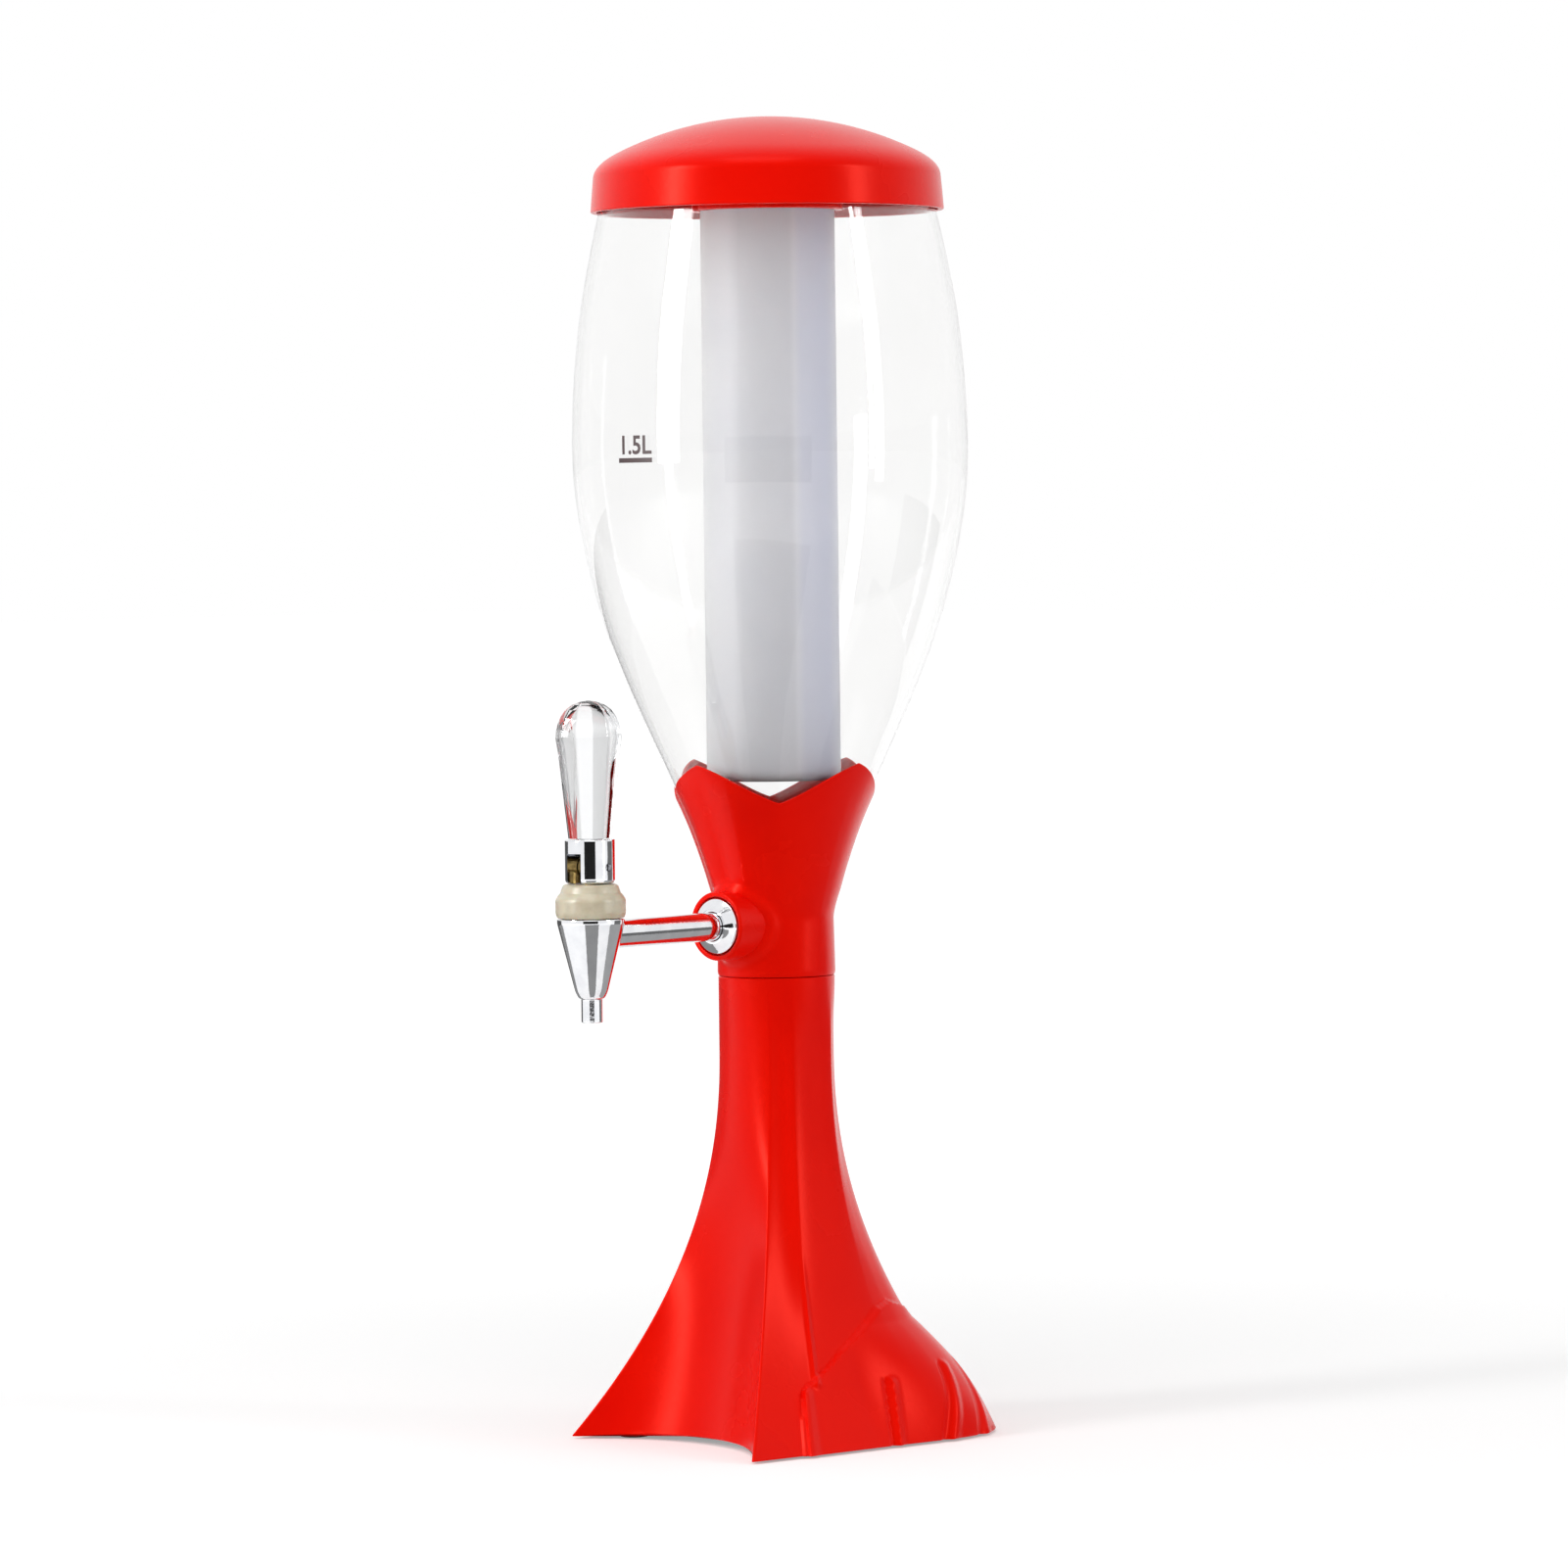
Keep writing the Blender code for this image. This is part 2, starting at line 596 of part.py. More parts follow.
def hem_outline():
    """Half of the pedestal's hem from above: (to the side, to the front), front to back."""
    half = []
    for step in range(FRONT_STEPS):
        turn = fin_turn * step / FRONT_STEPS
        half.append(Vector((FRONT_HOLLOW_RADIUS * math.sin(turn),
                            hollow_centre - FRONT_HOLLOW_RADIUS * math.cos(turn))))
    side = [Vector((FIN_HALF_WIDTH, fin_front))]
    side += [Vector((share * HEM_HALF_WIDTH, reach * HEM_BACK)) for share, reach in HEM_SIDE_SHARES]
    return half + curve_through(side, SIDE_STEPS)


def pedestal_columns():
    """For each column of the pedestal: its hem point and its turn round the neck."""
    half = hem_outline()
    tip_turn = math.atan2(half[FRONT_STEPS].x, half[FRONT_STEPS].y)
    columns = []
    for index, point in enumerate(half):
        along_front = tip_turn * index / FRONT_STEPS
        columns.append((point, along_front if index < FRONT_STEPS else math.atan2(point.x, point.y)))
    mirrored = [(Vector((-point.x, point.y)), -turn) for point, turn in reversed(columns[1:-1])]
    return columns + mirrored


def fold_valley(turn):
    """How far a turn lies in a fold's valley: 0 on a crest, 1 midway between two crests."""
    turn = abs(turn)
    for start, end in zip(CREST_TURNS, CREST_TURNS[1:]):
        if turn <= end:
            return math.sin(math.pi * (turn - start) / (end - start)) ** 2
    return 0.0


def leaf_swell(turn, height):
    """How far the leaf over the pedestal's side stands proud at a place."""
    turn = abs(turn)
    edge = between([(math.radians(at), share) for at, share in LEAF_TOP_SHARES], turn) * LEAF_HEIGHT
    inside = ease((edge - height) / LEAF_EDGE) if turn > math.radians(LEAF_TOP_SHARES[0][0]) else 0.0
    inside *= 1.0 if edge > 0.0 else 0.0
    bulge = ease((turn - LEAF_BULGE_START) / (LEAF_BULGE_FULL - LEAF_BULGE_START))
    bulge *= 1 - ease((turn - LEAF_BULGE_FADE) / (LEAF_BULGE_FADE - LEAF_BULGE_FULL))
    bulge *= math.sin(math.pi * min(1.0, height / LEAF_BULGE_HEIGHT))
    groove = max(max(0.0, 1 - abs(turn - toe) / TOE_GROOVE_WIDTH) for toe in TOE_TURNS)
    groove *= ease((TOE_TOP - height) / LEAF_EDGE)
    return inside * (LEAF_STEP - groove * TOE_GROOVE) + LEAF_BULGE * bulge


def pedestal_ring(height):
    """The outer surface at a height, as (to the side, to the front) points."""
    flare = max(0.0, 1 - height / FLARE_TOP) ** FLARE_POWER
    folds = FOLD_DEPTH * ease((SEAM_HEIGHT - height) / FOLD_FADE)
    ring = []
    for hem, turn in COLUMNS:
        radius = neck_radius - folds * fold_valley(turn) * (1 - flare)
        neck = Vector((math.sin(turn), math.cos(turn))) * radius
        point = neck.lerp(hem, flare)
        swell = leaf_swell(math.atan2(hem.x, hem.y), height)
        ring.append(point + point.normalized() * swell)
    return ring


def inset_ring(ring, wall):
    """Points inside a ring, at least a wall away from it, one for each column's turn."""
    edge = []
    for start, end in zip(ring, ring[1:] + ring[:1]):
        edge += [start.lerp(end, share) for share in (0.0, 0.25, 0.5, 0.75)]
    inner = []
    for _, turn in COLUMNS:
        way = Vector((math.sin(turn), math.cos(turn)))
        reach = max(point.length for point in edge)
        for point in edge:
            along = point.dot(way)
            aside = (point - way * along).length
            if along > 0.0 and aside < wall:
                reach = min(reach, along - math.sqrt(wall * wall - aside * aside))
        inner.append(way * reach)
    return inner


def placed_ring(ring, height):
    """Put a ring of (to the side, to the front) points at a height, turned as the pedestal is."""
    turned_points = []
    for point in ring:
        side = point.x * math.cos(PEDESTAL_TURN) + point.y * math.sin(PEDESTAL_TURN)
        front = point.y * math.cos(PEDESTAL_TURN) - point.x * math.sin(PEDESTAL_TURN)
        turned_points.append(Vector((side, -front, height)))
    return turned_points


def arched(points):
    """Raise the hem's front, where it hangs clear of the table."""
    raised = []
    for place, point in enumerate(points):
        share = min(1.0, min(place, len(points) - place) / FRONT_STEPS)
        raised.append(point + Vector((0.0, 0.0, HEM_ARCH * math.cos(math.pi / 2 * share))))
    return raised


def round_ring(radius):
    return [Vector((math.sin(turn), math.cos(turn))) * radius for _, turn in COLUMNS]


COLUMNS = pedestal_columns()


SCREW_SPOTS = [Vector((side * (HEM_HALF_WIDTH - SCREW_INSET), front))
               for side in (1, -1)
               for front in (fin_front - FRONT_SCREW_SETBACK, BACK_SCREW_SETBACK - HEM_BACK)]


def ring_reach(ring, way):
    """How far out a ring lies in a direction."""
    reach = 0.0
    for start, end in zip(ring, ring[1:] + ring[:1]):
        first = way.x * start.y - way.y * start.x
        second = way.x * end.y - way.y * end.x
        if first * second <= 0.0 and first != second and start.dot(way) > 0.0:
            reach = max(reach, start.lerp(end, first / (first - second)).dot(way))
    return reach


def roof_height(spot, reach):
    """The height at which the pedestal's outside has drawn in to a reach, in a spot's direction."""
    low, high = HEM_HEIGHT, FLARE_TOP
    for _ in range(16):
        middle = (low + high) / 2
        if ring_reach(pedestal_ring(middle), spot.normalized()) > reach:
            low = middle
        else:
            high = middle
    return low


def make_pedestal():
    spigot_radius = collar_bore - SEAT_GAP
    spigot_top = tank_bottom - SEAT_GAP
    spigot_bore = spigot_radius - SPIGOT_WALL
    rings = [placed_ring(round_ring(spigot_radius), spigot_top),
             placed_ring(round_ring(spigot_radius), SEAM_HEIGHT),
             placed_ring(round_ring(neck_radius), SEAM_HEIGHT)]
    rings += [placed_ring(pedestal_ring(share * SEAM_HEIGHT), share * SEAM_HEIGHT)
              for share in OUTER_LEVEL_SHARES]
    hem = pedestal_ring(HEM_HEIGHT)
    rings.append(arched(placed_ring(hem, HEM_HEIGHT)))
    rings.append(arched(placed_ring(inset_ring(hem, PEDESTAL_WALL), HEM_HEIGHT)))
    rings.append(placed_ring(inset_ring(pedestal_ring(cover_top), PEDESTAL_WALL), cover_top))
    rings += [placed_ring(inset_ring(pedestal_ring(share * SEAM_HEIGHT), PEDESTAL_WALL),
                          share * SEAM_HEIGHT) for share in INNER_LEVEL_SHARES]
    under_shoulder = round_ring(neck_radius - PEDESTAL_WALL - FOLD_DEPTH)
    rings += [placed_ring(under_shoulder, SEAM_HEIGHT - SHOULDER_DROP * 2),
              placed_ring(round_ring(spigot_bore), SEAM_HEIGHT - SHOULDER_DROP),
              placed_ring(round_ring(spigot_bore), spigot_top)]
    pedestal = add_object("pedestal", loft_shape(rings, around=True), "red_plastic")
    boss_bottom = cover_top + SEAT_GAP
    for number, (spot, place) in enumerate(zip(SCREW_SPOTS, placed_ring(SCREW_SPOTS, 0.0)), start=1):
        roof = roof_height(spot, spot.length + SCREW_BOSS_RADIUS) - PEDESTAL_WALL / 2
        boss = rod_shape(SCREW_BOSS_RADIUS, boss_bottom, roof, sides=16)
        boolean(pedestal, add_object("screw_boss_%d" % number, boss, None, place), "UNION")
        pilot = rod_shape(SCREW_RADIUS + SEAT_GAP, boss_bottom - CUT_OVERRUN,
                          boss_bottom + SCREW_LENGTH, sides=12)
        boolean(pedestal, add_object("screw_pilot_%d" % number, pilot, None, place), "DIFFERENCE")


def make_bottom_cover():
    edge = inset_ring(pedestal_ring(cover_top), PEDESTAL_WALL + SEAT_GAP)
    plate = loft_shape([placed_ring(edge, cover_bottom), placed_ring(edge, cover_top)])
    cover = add_object("bottom_cover", plate, "black_plastic")
    panel = rod_shape(PANEL_RADIUS, cover_bottom - PANEL_DROP, cover_top - COVER_HEIGHT / 2,
                      sides=PANEL_STEPS)
    boolean(cover, add_object("cover_panel", panel, None), "UNION")
    for number, place in enumerate(placed_ring(SCREW_SPOTS, 0.0), start=1):
        sink = rod_shape(SCREW_HEAD_RADIUS + SEAT_GAP, cover_bottom - CUT_OVERRUN,
                         cover_bottom + COUNTERBORE_DEPTH, sides=16)
        boolean(cover, add_object("screw_sink_%d" % number, sink, None, place), "DIFFERENCE")
        hole = rod_shape(SCREW_RADIUS + SEAT_GAP, cover_bottom, cover_top + CUT_OVERRUN, sides=12)
        boolean(cover, add_object("screw_hole_%d" % number, hole, None, place), "DIFFERENCE")


def make_screws_and_feet():
    head_top = cover_bottom + COUNTERBORE_DEPTH - SEAT_GAP
    head_bottom = head_top - SCREW_HEAD_HEIGHT
    for number, place in enumerate(placed_ring(SCREW_SPOTS, 0.0), start=1):
        screw = [(0.0, head_top + SCREW_LENGTH), (SCREW_RADIUS / 2, head_top + SCREW_LENGTH),
                 (SCREW_RADIUS, head_top + SCREW_LENGTH - SCREW_RADIUS), (SCREW_RADIUS, head_top),
                 (SCREW_HEAD_RADIUS, head_top), (SCREW_HEAD_RADIUS, head_bottom), (0.0, head_bottom)]
        turned("cover_screw_%d" % number, screw, "steel", SCREW_STEPS, place)
        foot = [(0.0, FOOT_HEIGHT), (FOOT_RADIUS, FOOT_HEIGHT),
                (FOOT_RADIUS - FOOT_HEIGHT / 3, 0.0), (0.0, 0.0)]
        turned("foot_pad_%d" % number, foot, "black_rubber", FOOT_STEPS, place)


# Distances from the tower's axis along the shank, and heights in the tap
body_top = tap_height + BODY_RISE
body_bottom = tap_height - BODY_DROP
nozzle_bottom = body_bottom - NOZZLE_LENGTH
chamber_bottom = body_bottom + CHAMBER_RISE
cone_top = body_top - BODY_RIM
body_taper = (BODY_RADIUS - BODY_TOE_RADIUS) / (cone_top - body_bottom - BODY_ROUND)
body_radius_at_shank = BODY_RADIUS - body_taper * (cone_top - tap_height)
shank_end = TAP_REACH - body_radius_at_shank + SHANK_SOCKET
nut_start = PORT_SEAL_FLAT - SEAT_GAP - NUT_HEIGHT
shank_start = nut_start - SHANK_STUB
seal_start = BOSS_REACH - BOSS_RECESS + SEAT_GAP
flange_start = seal_start + SHANK_SEAL_HEIGHT + SEAT_GAP
bonnet_seal_bottom = body_top + SEAT_GAP
bonnet_seal_top = bonnet_seal_bottom + BONNET_SEAL_HEIGHT
bonnet_bottom = body_top + SEAT_GAP
bonnet_top = bonnet_bottom + BONNET_HEIGHT
bonnet_spigot_radius = CHAMBER_RADIUS - SEAT_GAP
pin_height = bonnet_top + PIN_RISE
lever_bottom = SEAT_GAP - PIN_RISE
lever_top = lever_bottom + FERRULE_HEIGHT
pin_hole = PIN_RADIUS + SEAT_GAP
shank_place = (0.0, 0.0, tap_height)


def make_shank_pieces():
    shank = [(SHANK_RADIUS, shank_end), (SHANK_RADIUS, shank_start),
             (SHANK_BORE, shank_start), (SHANK_BORE, shank_end)]
    turned("tap_shank", shank, "chrome", TAP_STEPS, shank_place, ring=True, tilt=TO_FRONT)
    seal_top = seal_start + SHANK_SEAL_HEIGHT
    seal = [(SHANK_SEAL_RADIUS, seal_top), (SHANK_SEAL_RADIUS, seal_start),
            (shank_hole, seal_start), (shank_hole, seal_top)]
    turned("shank_seal", seal, "black_rubber", TAP_STEPS, shank_place, ring=True, tilt=TO_FRONT)
    dome_steps = 4
    flange = []
    for step in range(dome_steps + 1):
        turn = math.pi / 2 * step / dome_steps
        flange.append((shank_hole + (FLANGE_RADIUS - shank_hole) * math.sin(turn),
                       flange_start + FLANGE_HEIGHT * (1 + 2 * math.cos(turn)) / 3))
    flange += [(FLANGE_RADIUS, flange_start), (shank_hole, flange_start)]
    turned("shank_flange", flange, "chrome", TAP_STEPS, shank_place, ring=True, tilt=TO_FRONT)
    port_seal = add_object("tank_port_seal", rod_shape(
        PORT_SEAL_RADIUS, -tank_bore - CUT_OVERRUN, -PORT_SEAL_FLAT, sides=TAP_STEPS, along="Y"),
        "silicone", shank_place)
    inside = rod_shape(tank_bore - SEAT_GAP, -PORT_SEAL_RADIUS * 2, PORT_SEAL_RADIUS * 2,
                       sides=TANK_STEPS * 2)
    boolean(port_seal, add_object("seal_saddle", inside, None, shank_place), "INTERSECT")
    nut = add_object("shank_nut", rod_shape(
        NUT_ACROSS_CORNERS / 2, -nut_start - NUT_HEIGHT, -nut_start, sides=NUT_SIDES, along="Y"),
        "steel", shank_place)
    hole = add_object("nut_hole", rod_shape(shank_hole, -TANK_RADIUS, 0.0, along="Y"), None, shank_place)
    boolean(port_seal, hole, "DIFFERENCE")
    boolean(nut, hole, "DIFFERENCE")


def make_tap_body():
    body = [(BODY_RADIUS, body_top), (BODY_RADIUS, cone_top), (BODY_TOE_RADIUS, body_bottom + BODY_ROUND),
            (BODY_TOE_RADIUS - BODY_ROUND / 2, body_bottom), (NOZZLE_RADIUS, body_bottom),
            (NOZZLE_RADIUS, nozzle_bottom), (NOZZLE_BORE, nozzle_bottom),
            (NOZZLE_BORE, chamber_bottom - SEAT_HEIGHT), (CHAMBER_RADIUS, chamber_bottom),
            (CHAMBER_RADIUS, body_top)]
    tap_body = turned("tap_body", body, "chrome", TAP_STEPS, tap_place, ring=True)
    socket_floor = TAP_REACH - shank_end - SEAT_GAP
    at_shank = tap_place + Vector(shank_place)
    socket = rod_shape(shank_hole, socket_floor, BODY_RADIUS + CUT_OVERRUN, along="Y")
    boolean(tap_body, add_object("shank_socket", socket, None, at_shank), "DIFFERENCE")
    passage = rod_shape(SHANK_BORE, SHANK_BORE, socket_floor + CUT_OVERRUN, sides=16, along="Y")
    boolean(tap_body, add_object("shank_passage", passage, None, at_shank), "DIFFERENCE")


def make_bonnet():
    seal = [(BONNET_SEAL_RADIUS, bonnet_seal_top), (BONNET_SEAL_RADIUS, bonnet_seal_bottom),
            (CHAMBER_RADIUS, bonnet_seal_bottom), (CHAMBER_RADIUS, bonnet_seal_top)]
    turned("bonnet_seal", seal, "black_rubber", TAP_STEPS, tap_place, ring=True)
    bonnet = [(share * BONNET_RADIUS, bonnet_bottom + level * BONNET_HEIGHT)
              for share, level in BONNET_PROFILE_SHARES]
    recess_radius = BONNET_SEAL_RADIUS + SEAT_GAP
    recess_top = bonnet_seal_top + SEAT_GAP
    bonnet += [(recess_radius, bonnet_bottom), (recess_radius, recess_top),
               (bonnet_spigot_radius, recess_top), (bonnet_spigot_radius, body_top - BONNET_SPIGOT),
               (stem_hole, body_top - BONNET_SPIGOT), (stem_hole, bonnet_top)]
    turned("bonnet_ring", bonnet, "ivory_plastic", TAP_STEPS, tap_place, ring=True)


def make_stem():
    seat_rise = SEAT_HEIGHT / (CHAMBER_RADIUS - NOZZLE_BORE)
    plug_radius = CHAMBER_RADIUS - SEAT_GAP * 2
    nose_radius = NOZZLE_BORE + SEAT_GAP
    lift = SEAT_GAP * math.hypot(1, seat_rise)
    seat_bottom = chamber_bottom - SEAT_HEIGHT + lift
    nose = seat_bottom + (nose_radius - NOZZLE_BORE) * seat_rise
    shoulder = seat_bottom + (plug_radius - NOZZLE_BORE) * seat_rise
    plug_top = nose + PLUG_HEIGHT
    plug = [(0.0, plug_top), (plug_radius, plug_top), (plug_radius, shoulder),
            (nose_radius, nose), (0.0, nose)]
    turned("seat_plug", plug, "black_rubber", 20, tap_place)
    neck_bottom = bonnet_top + SEAT_GAP
    stem = [(0.0, pin_height), (STEM_NECK_RADIUS, pin_height), (STEM_NECK_RADIUS, neck_bottom),
            (STEM_RADIUS, neck_bottom), (STEM_RADIUS, plug_top + SEAT_GAP), (0.0, plug_top + SEAT_GAP)]
    valve_stem = turned("valve_stem", stem, "brass", 20, tap_place)
    head_place = tap_place + Vector((0.0, 0.0, pin_height))
    eye = rod_shape(STEM_HEAD_RADIUS, -STEM_HEAD_WIDTH / 2, STEM_HEAD_WIDTH / 2, sides=20, along="X")
    boolean(valve_stem, add_object("stem_eye", eye, None, head_place), "UNION")
    hole = rod_shape(pin_hole, -STEM_HEAD_WIDTH, STEM_HEAD_WIDTH, sides=16, along="X")
    boolean(valve_stem, add_object("stem_pin_hole", hole, None, head_place), "DIFFERENCE")


def make_lever():
    pivot = add_axis("lever_axis", tap_place + Vector((0.0, 0.0, pin_height)))
    pin = rod_shape(PIN_RADIUS, -PIN_LENGTH / 2, PIN_LENGTH / 2, sides=16, along="X")
    add_object("lever_pin", pin, "steel", parent=pivot)
    socket_floor = lever_top - KNOB_SOCKET_DEPTH
    ferrule = [(0.0, socket_floor), (KNOB_SOCKET_RADIUS, socket_floor), (KNOB_SOCKET_RADIUS, lever_top),
               (FERRULE_RADIUS - FERRULE_ROUND / 3, lever_top),
               (FERRULE_RADIUS, lever_top - FERRULE_ROUND / 3)]
    round_steps = 3
    for step in range(round_steps + 1):
        turn = math.pi / 2 * step / round_steps
        ferrule.append((FERRULE_RADIUS - FERRULE_ROUND * (1 - math.cos(turn)),
                        lever_bottom + FERRULE_ROUND * (1 - math.sin(turn))))
    ferrule.append((0.0, lever_bottom))
    handle = turned("handle_ferrule", ferrule, "chrome", TAP_STEPS, parent=pivot)
    window = box_shape((-WINDOW_WIDTH / 2, -FERRULE_RADIUS - CUT_OVERRUN, lever_bottom - CUT_OVERRUN),
                       (WINDOW_WIDTH / 2, WINDOW_BACK, lever_bottom + WINDOW_HEIGHT))
    boolean(handle, add_object("ferrule_window", window, None, parent=pivot), "DIFFERENCE")
    hole = rod_shape(pin_hole, -FERRULE_RADIUS - CUT_OVERRUN, FERRULE_RADIUS + CUT_OVERRUN,
                     sides=16, along="X")
    boolean(handle, add_object("ferrule_pin_hole", hole, None, parent=pivot), "DIFFERENCE")

    foot = lever_top + SEAT_GAP
    spigot_radius = KNOB_SOCKET_RADIUS - SEAT_GAP
    levels = [(spigot_radius, socket_floor + SEAT_GAP), (spigot_radius, foot)]
    levels += [(share * KNOB_HALF_WIDTH, foot + level * KNOB_HEIGHT) for share, level in KNOB_PROFILE_SHARES]
    rings = []
    for radius, level in levels:
        turns = [math.radians(corner) + KNOB_TURN for corner in KNOB_CORNER_TURNS]
        rings.append([Vector((radius * math.sin(turn), -radius * math.cos(turn), level)) for turn in turns])
    knob = add_object("handle_knob", loft_shape(rings), "crystal", parent=pivot)
    knob.data.shade_flat()


make_pedestal()
make_bottom_cover()
make_screws_and_feet()
make_collar()
make_tank()
make_lid()
make_ice_tube()
make_tube_seal()
make_shank_pieces()
make_tap_body()
make_bonnet()
make_stem()
make_lever()
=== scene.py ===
import math

import bmesh
import bpy
from mathutils import Matrix, Vector


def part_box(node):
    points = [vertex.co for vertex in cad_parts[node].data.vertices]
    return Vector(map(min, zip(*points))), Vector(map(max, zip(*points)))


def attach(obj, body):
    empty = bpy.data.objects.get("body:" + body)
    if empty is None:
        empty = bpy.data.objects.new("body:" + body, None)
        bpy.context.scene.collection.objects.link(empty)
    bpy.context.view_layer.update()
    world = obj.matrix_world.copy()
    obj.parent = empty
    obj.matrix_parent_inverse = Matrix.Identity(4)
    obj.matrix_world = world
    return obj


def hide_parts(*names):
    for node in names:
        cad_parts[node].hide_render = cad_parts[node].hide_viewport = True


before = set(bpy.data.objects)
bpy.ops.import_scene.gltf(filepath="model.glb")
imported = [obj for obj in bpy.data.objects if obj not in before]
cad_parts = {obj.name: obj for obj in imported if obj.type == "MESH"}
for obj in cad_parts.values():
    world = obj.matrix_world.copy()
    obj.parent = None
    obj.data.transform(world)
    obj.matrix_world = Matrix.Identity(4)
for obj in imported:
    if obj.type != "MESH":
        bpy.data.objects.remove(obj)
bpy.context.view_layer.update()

# Studio: a plain pale sweep under soft lamps, in a world that is white where the camera, gloss
# and clear plastic look at it. Dim flags round the tap, which only gloss sees, give the chrome
# its dark bands. The floor keeps the tower's shadow.
view_turn = math.radians(42)
view_reach = 2.7
view_height = 0.353
aim_height = 0.254
aim_aside = 0.0038
view_roll = math.radians(-0.70)
towards_camera = Vector((math.sin(view_turn), -math.cos(view_turn), 0.0))
rightwards = Vector((math.cos(view_turn), math.sin(view_turn), 0.0))

scene = bpy.context.scene
scene.view_settings.view_transform = "Standard"

lens = bpy.data.cameras.new("studio_camera")
lens.lens = 160
lens.sensor_width = 36
camera = bpy.data.objects.new("studio_camera", lens)
scene.collection.objects.link(camera)
aim = rightwards * aim_aside + Vector((0.0, 0.0, aim_height))
camera.location = towards_camera * view_reach + rightwards * aim_aside + Vector((0.0, 0.0, view_height))
facing = (aim - camera.location).to_track_quat("-Z", "Y").to_matrix()
camera.rotation_euler = (facing @ Matrix.Rotation(view_roll, 3, "Z")).to_euler()
scene.camera = camera


def seen_directly(nodes, links):
    """1 where the camera, gloss or clear plastic looks, and 0 where plain light falls."""
    ray = nodes.new("ShaderNodeLightPath")
    seen = ray.outputs["Is Camera Ray"]
    for kind in ("Is Glossy Ray", "Is Transmission Ray"):
        either = nodes.new("ShaderNodeMath")
        either.operation = "MAXIMUM"
        links.new(seen, either.inputs[0])
        links.new(ray.outputs[kind], either.inputs[1])
        seen = either.outputs[0]
    return seen


floor_size = 40.0
floor_shape = bmesh.new()
bmesh.ops.create_grid(floor_shape, x_segments=8, y_segments=8, size=floor_size / 2)
floor_mesh = bpy.data.meshes.new("studio_floor")
floor_shape.to_mesh(floor_mesh)
floor_shape.free()
floor = bpy.data.objects.new("studio_floor", floor_mesh)
scene.collection.objects.link(floor)

floor_white = (0.80, 0.80, 0.80, 1.0)
# The sweep brightens from round the tower outwards, where the lamps no longer reach it
floor_lift_near = 0.32
floor_lift_far = 0.62
floor_near = 0.25
floor_far = 1.3
floor_paint = bpy.data.materials.new("studio_floor")
floor_paint.use_nodes = True
floor_nodes = floor_paint.node_tree.nodes
floor_links = floor_paint.node_tree.links
floor_shader = floor_nodes["Principled BSDF"]
floor_shader.inputs["Base Color"].default_value = floor_white
floor_shader.inputs["Roughness"].default_value = 1.0
floor_shader.inputs["Specular IOR Level"].default_value = 0.0
floor_shader.inputs["Emission Color"].default_value = (1.0, 1.0, 1.0, 1.0)
floor_place = floor_nodes.new("ShaderNodeTexCoord")
floor_reach = floor_nodes.new("ShaderNodeVectorMath")
floor_reach.operation = "LENGTH"
floor_lift = floor_nodes.new("ShaderNodeMapRange")
floor_lift.interpolation_type = "SMOOTHSTEP"
floor_lift.inputs["From Min"].default_value = floor_near
floor_lift.inputs["From Max"].default_value = floor_far
floor_lift.inputs["To Min"].default_value = floor_lift_near
floor_lift.inputs["To Max"].default_value = floor_lift_far
floor_glow = floor_nodes.new("ShaderNodeMath")
floor_glow.operation = "MULTIPLY"
floor_links.new(floor_place.outputs["Object"], floor_reach.inputs[0])
floor_links.new(floor_reach.outputs["Value"], floor_lift.inputs["Value"])
floor_links.new(seen_directly(floor_nodes, floor_links), floor_glow.inputs[0])
floor_links.new(floor_lift.outputs["Result"], floor_glow.inputs[1])
floor_links.new(floor_glow.outputs[0], floor_shader.inputs["Emission Strength"])
floor_mesh.materials.append(floor_paint)

world_light = 0.55
world = bpy.data.worlds.new("studio_world")
scene.world = world
world.use_nodes = True
world_nodes = world.node_tree.nodes
world_links = world.node_tree.links
world_back = world_nodes["Background"]
world_back.inputs["Color"].default_value = (1.0, 1.0, 1.0, 1.0)
world_level = world_nodes.new("ShaderNodeMapRange")
world_level.inputs["To Min"].default_value = world_light
world_level.inputs["To Max"].default_value = 1.0
world_links.new(seen_directly(world_nodes, world_links), world_level.inputs["Value"])
world_links.new(world_level.outputs["Result"], world_back.inputs["Strength"])


def softbox(name, turn, reach, height, width, tall, watts, glint=False):
    """A soft lamp at a turn from the camera towards its right. A glint lights gloss alone."""
    lamp = bpy.data.lights.new(name, "AREA")
    lamp.shape = "RECTANGLE"
    lamp.size = width
    lamp.size_y = tall
    lamp.energy = watts
    held = bpy.data.objects.new(name, lamp)
    scene.collection.objects.link(held)
    around = view_turn + math.radians(turn)
    held.location = (reach * math.sin(around), -reach * math.cos(around), height)
    held.rotation_euler = (Vector((0.0, 0.0, aim_height)) - held.location).to_track_quat("-Z", "Y").to_euler()
    held.visible_diffuse = not glint
    held.visible_transmission = not glint


softbox("left_lamp", -58, 1.9, 0.9, 0.30, 1.3, 15)
softbox("right_lamp", 66, 1.9, 0.7, 0.16, 1.2, 6)
softbox("top_lamp", -10, 0.7, 1.9, 0.9, 0.9, 6.5)
softbox("left_glint", -64, 1.8, 0.9, 0.22, 1.3, 28, glint=True)
softbox("right_glint", 60, 1.8, 0.8, 0.08, 1.2, 12, glint=True)

tap_reach = 0.104


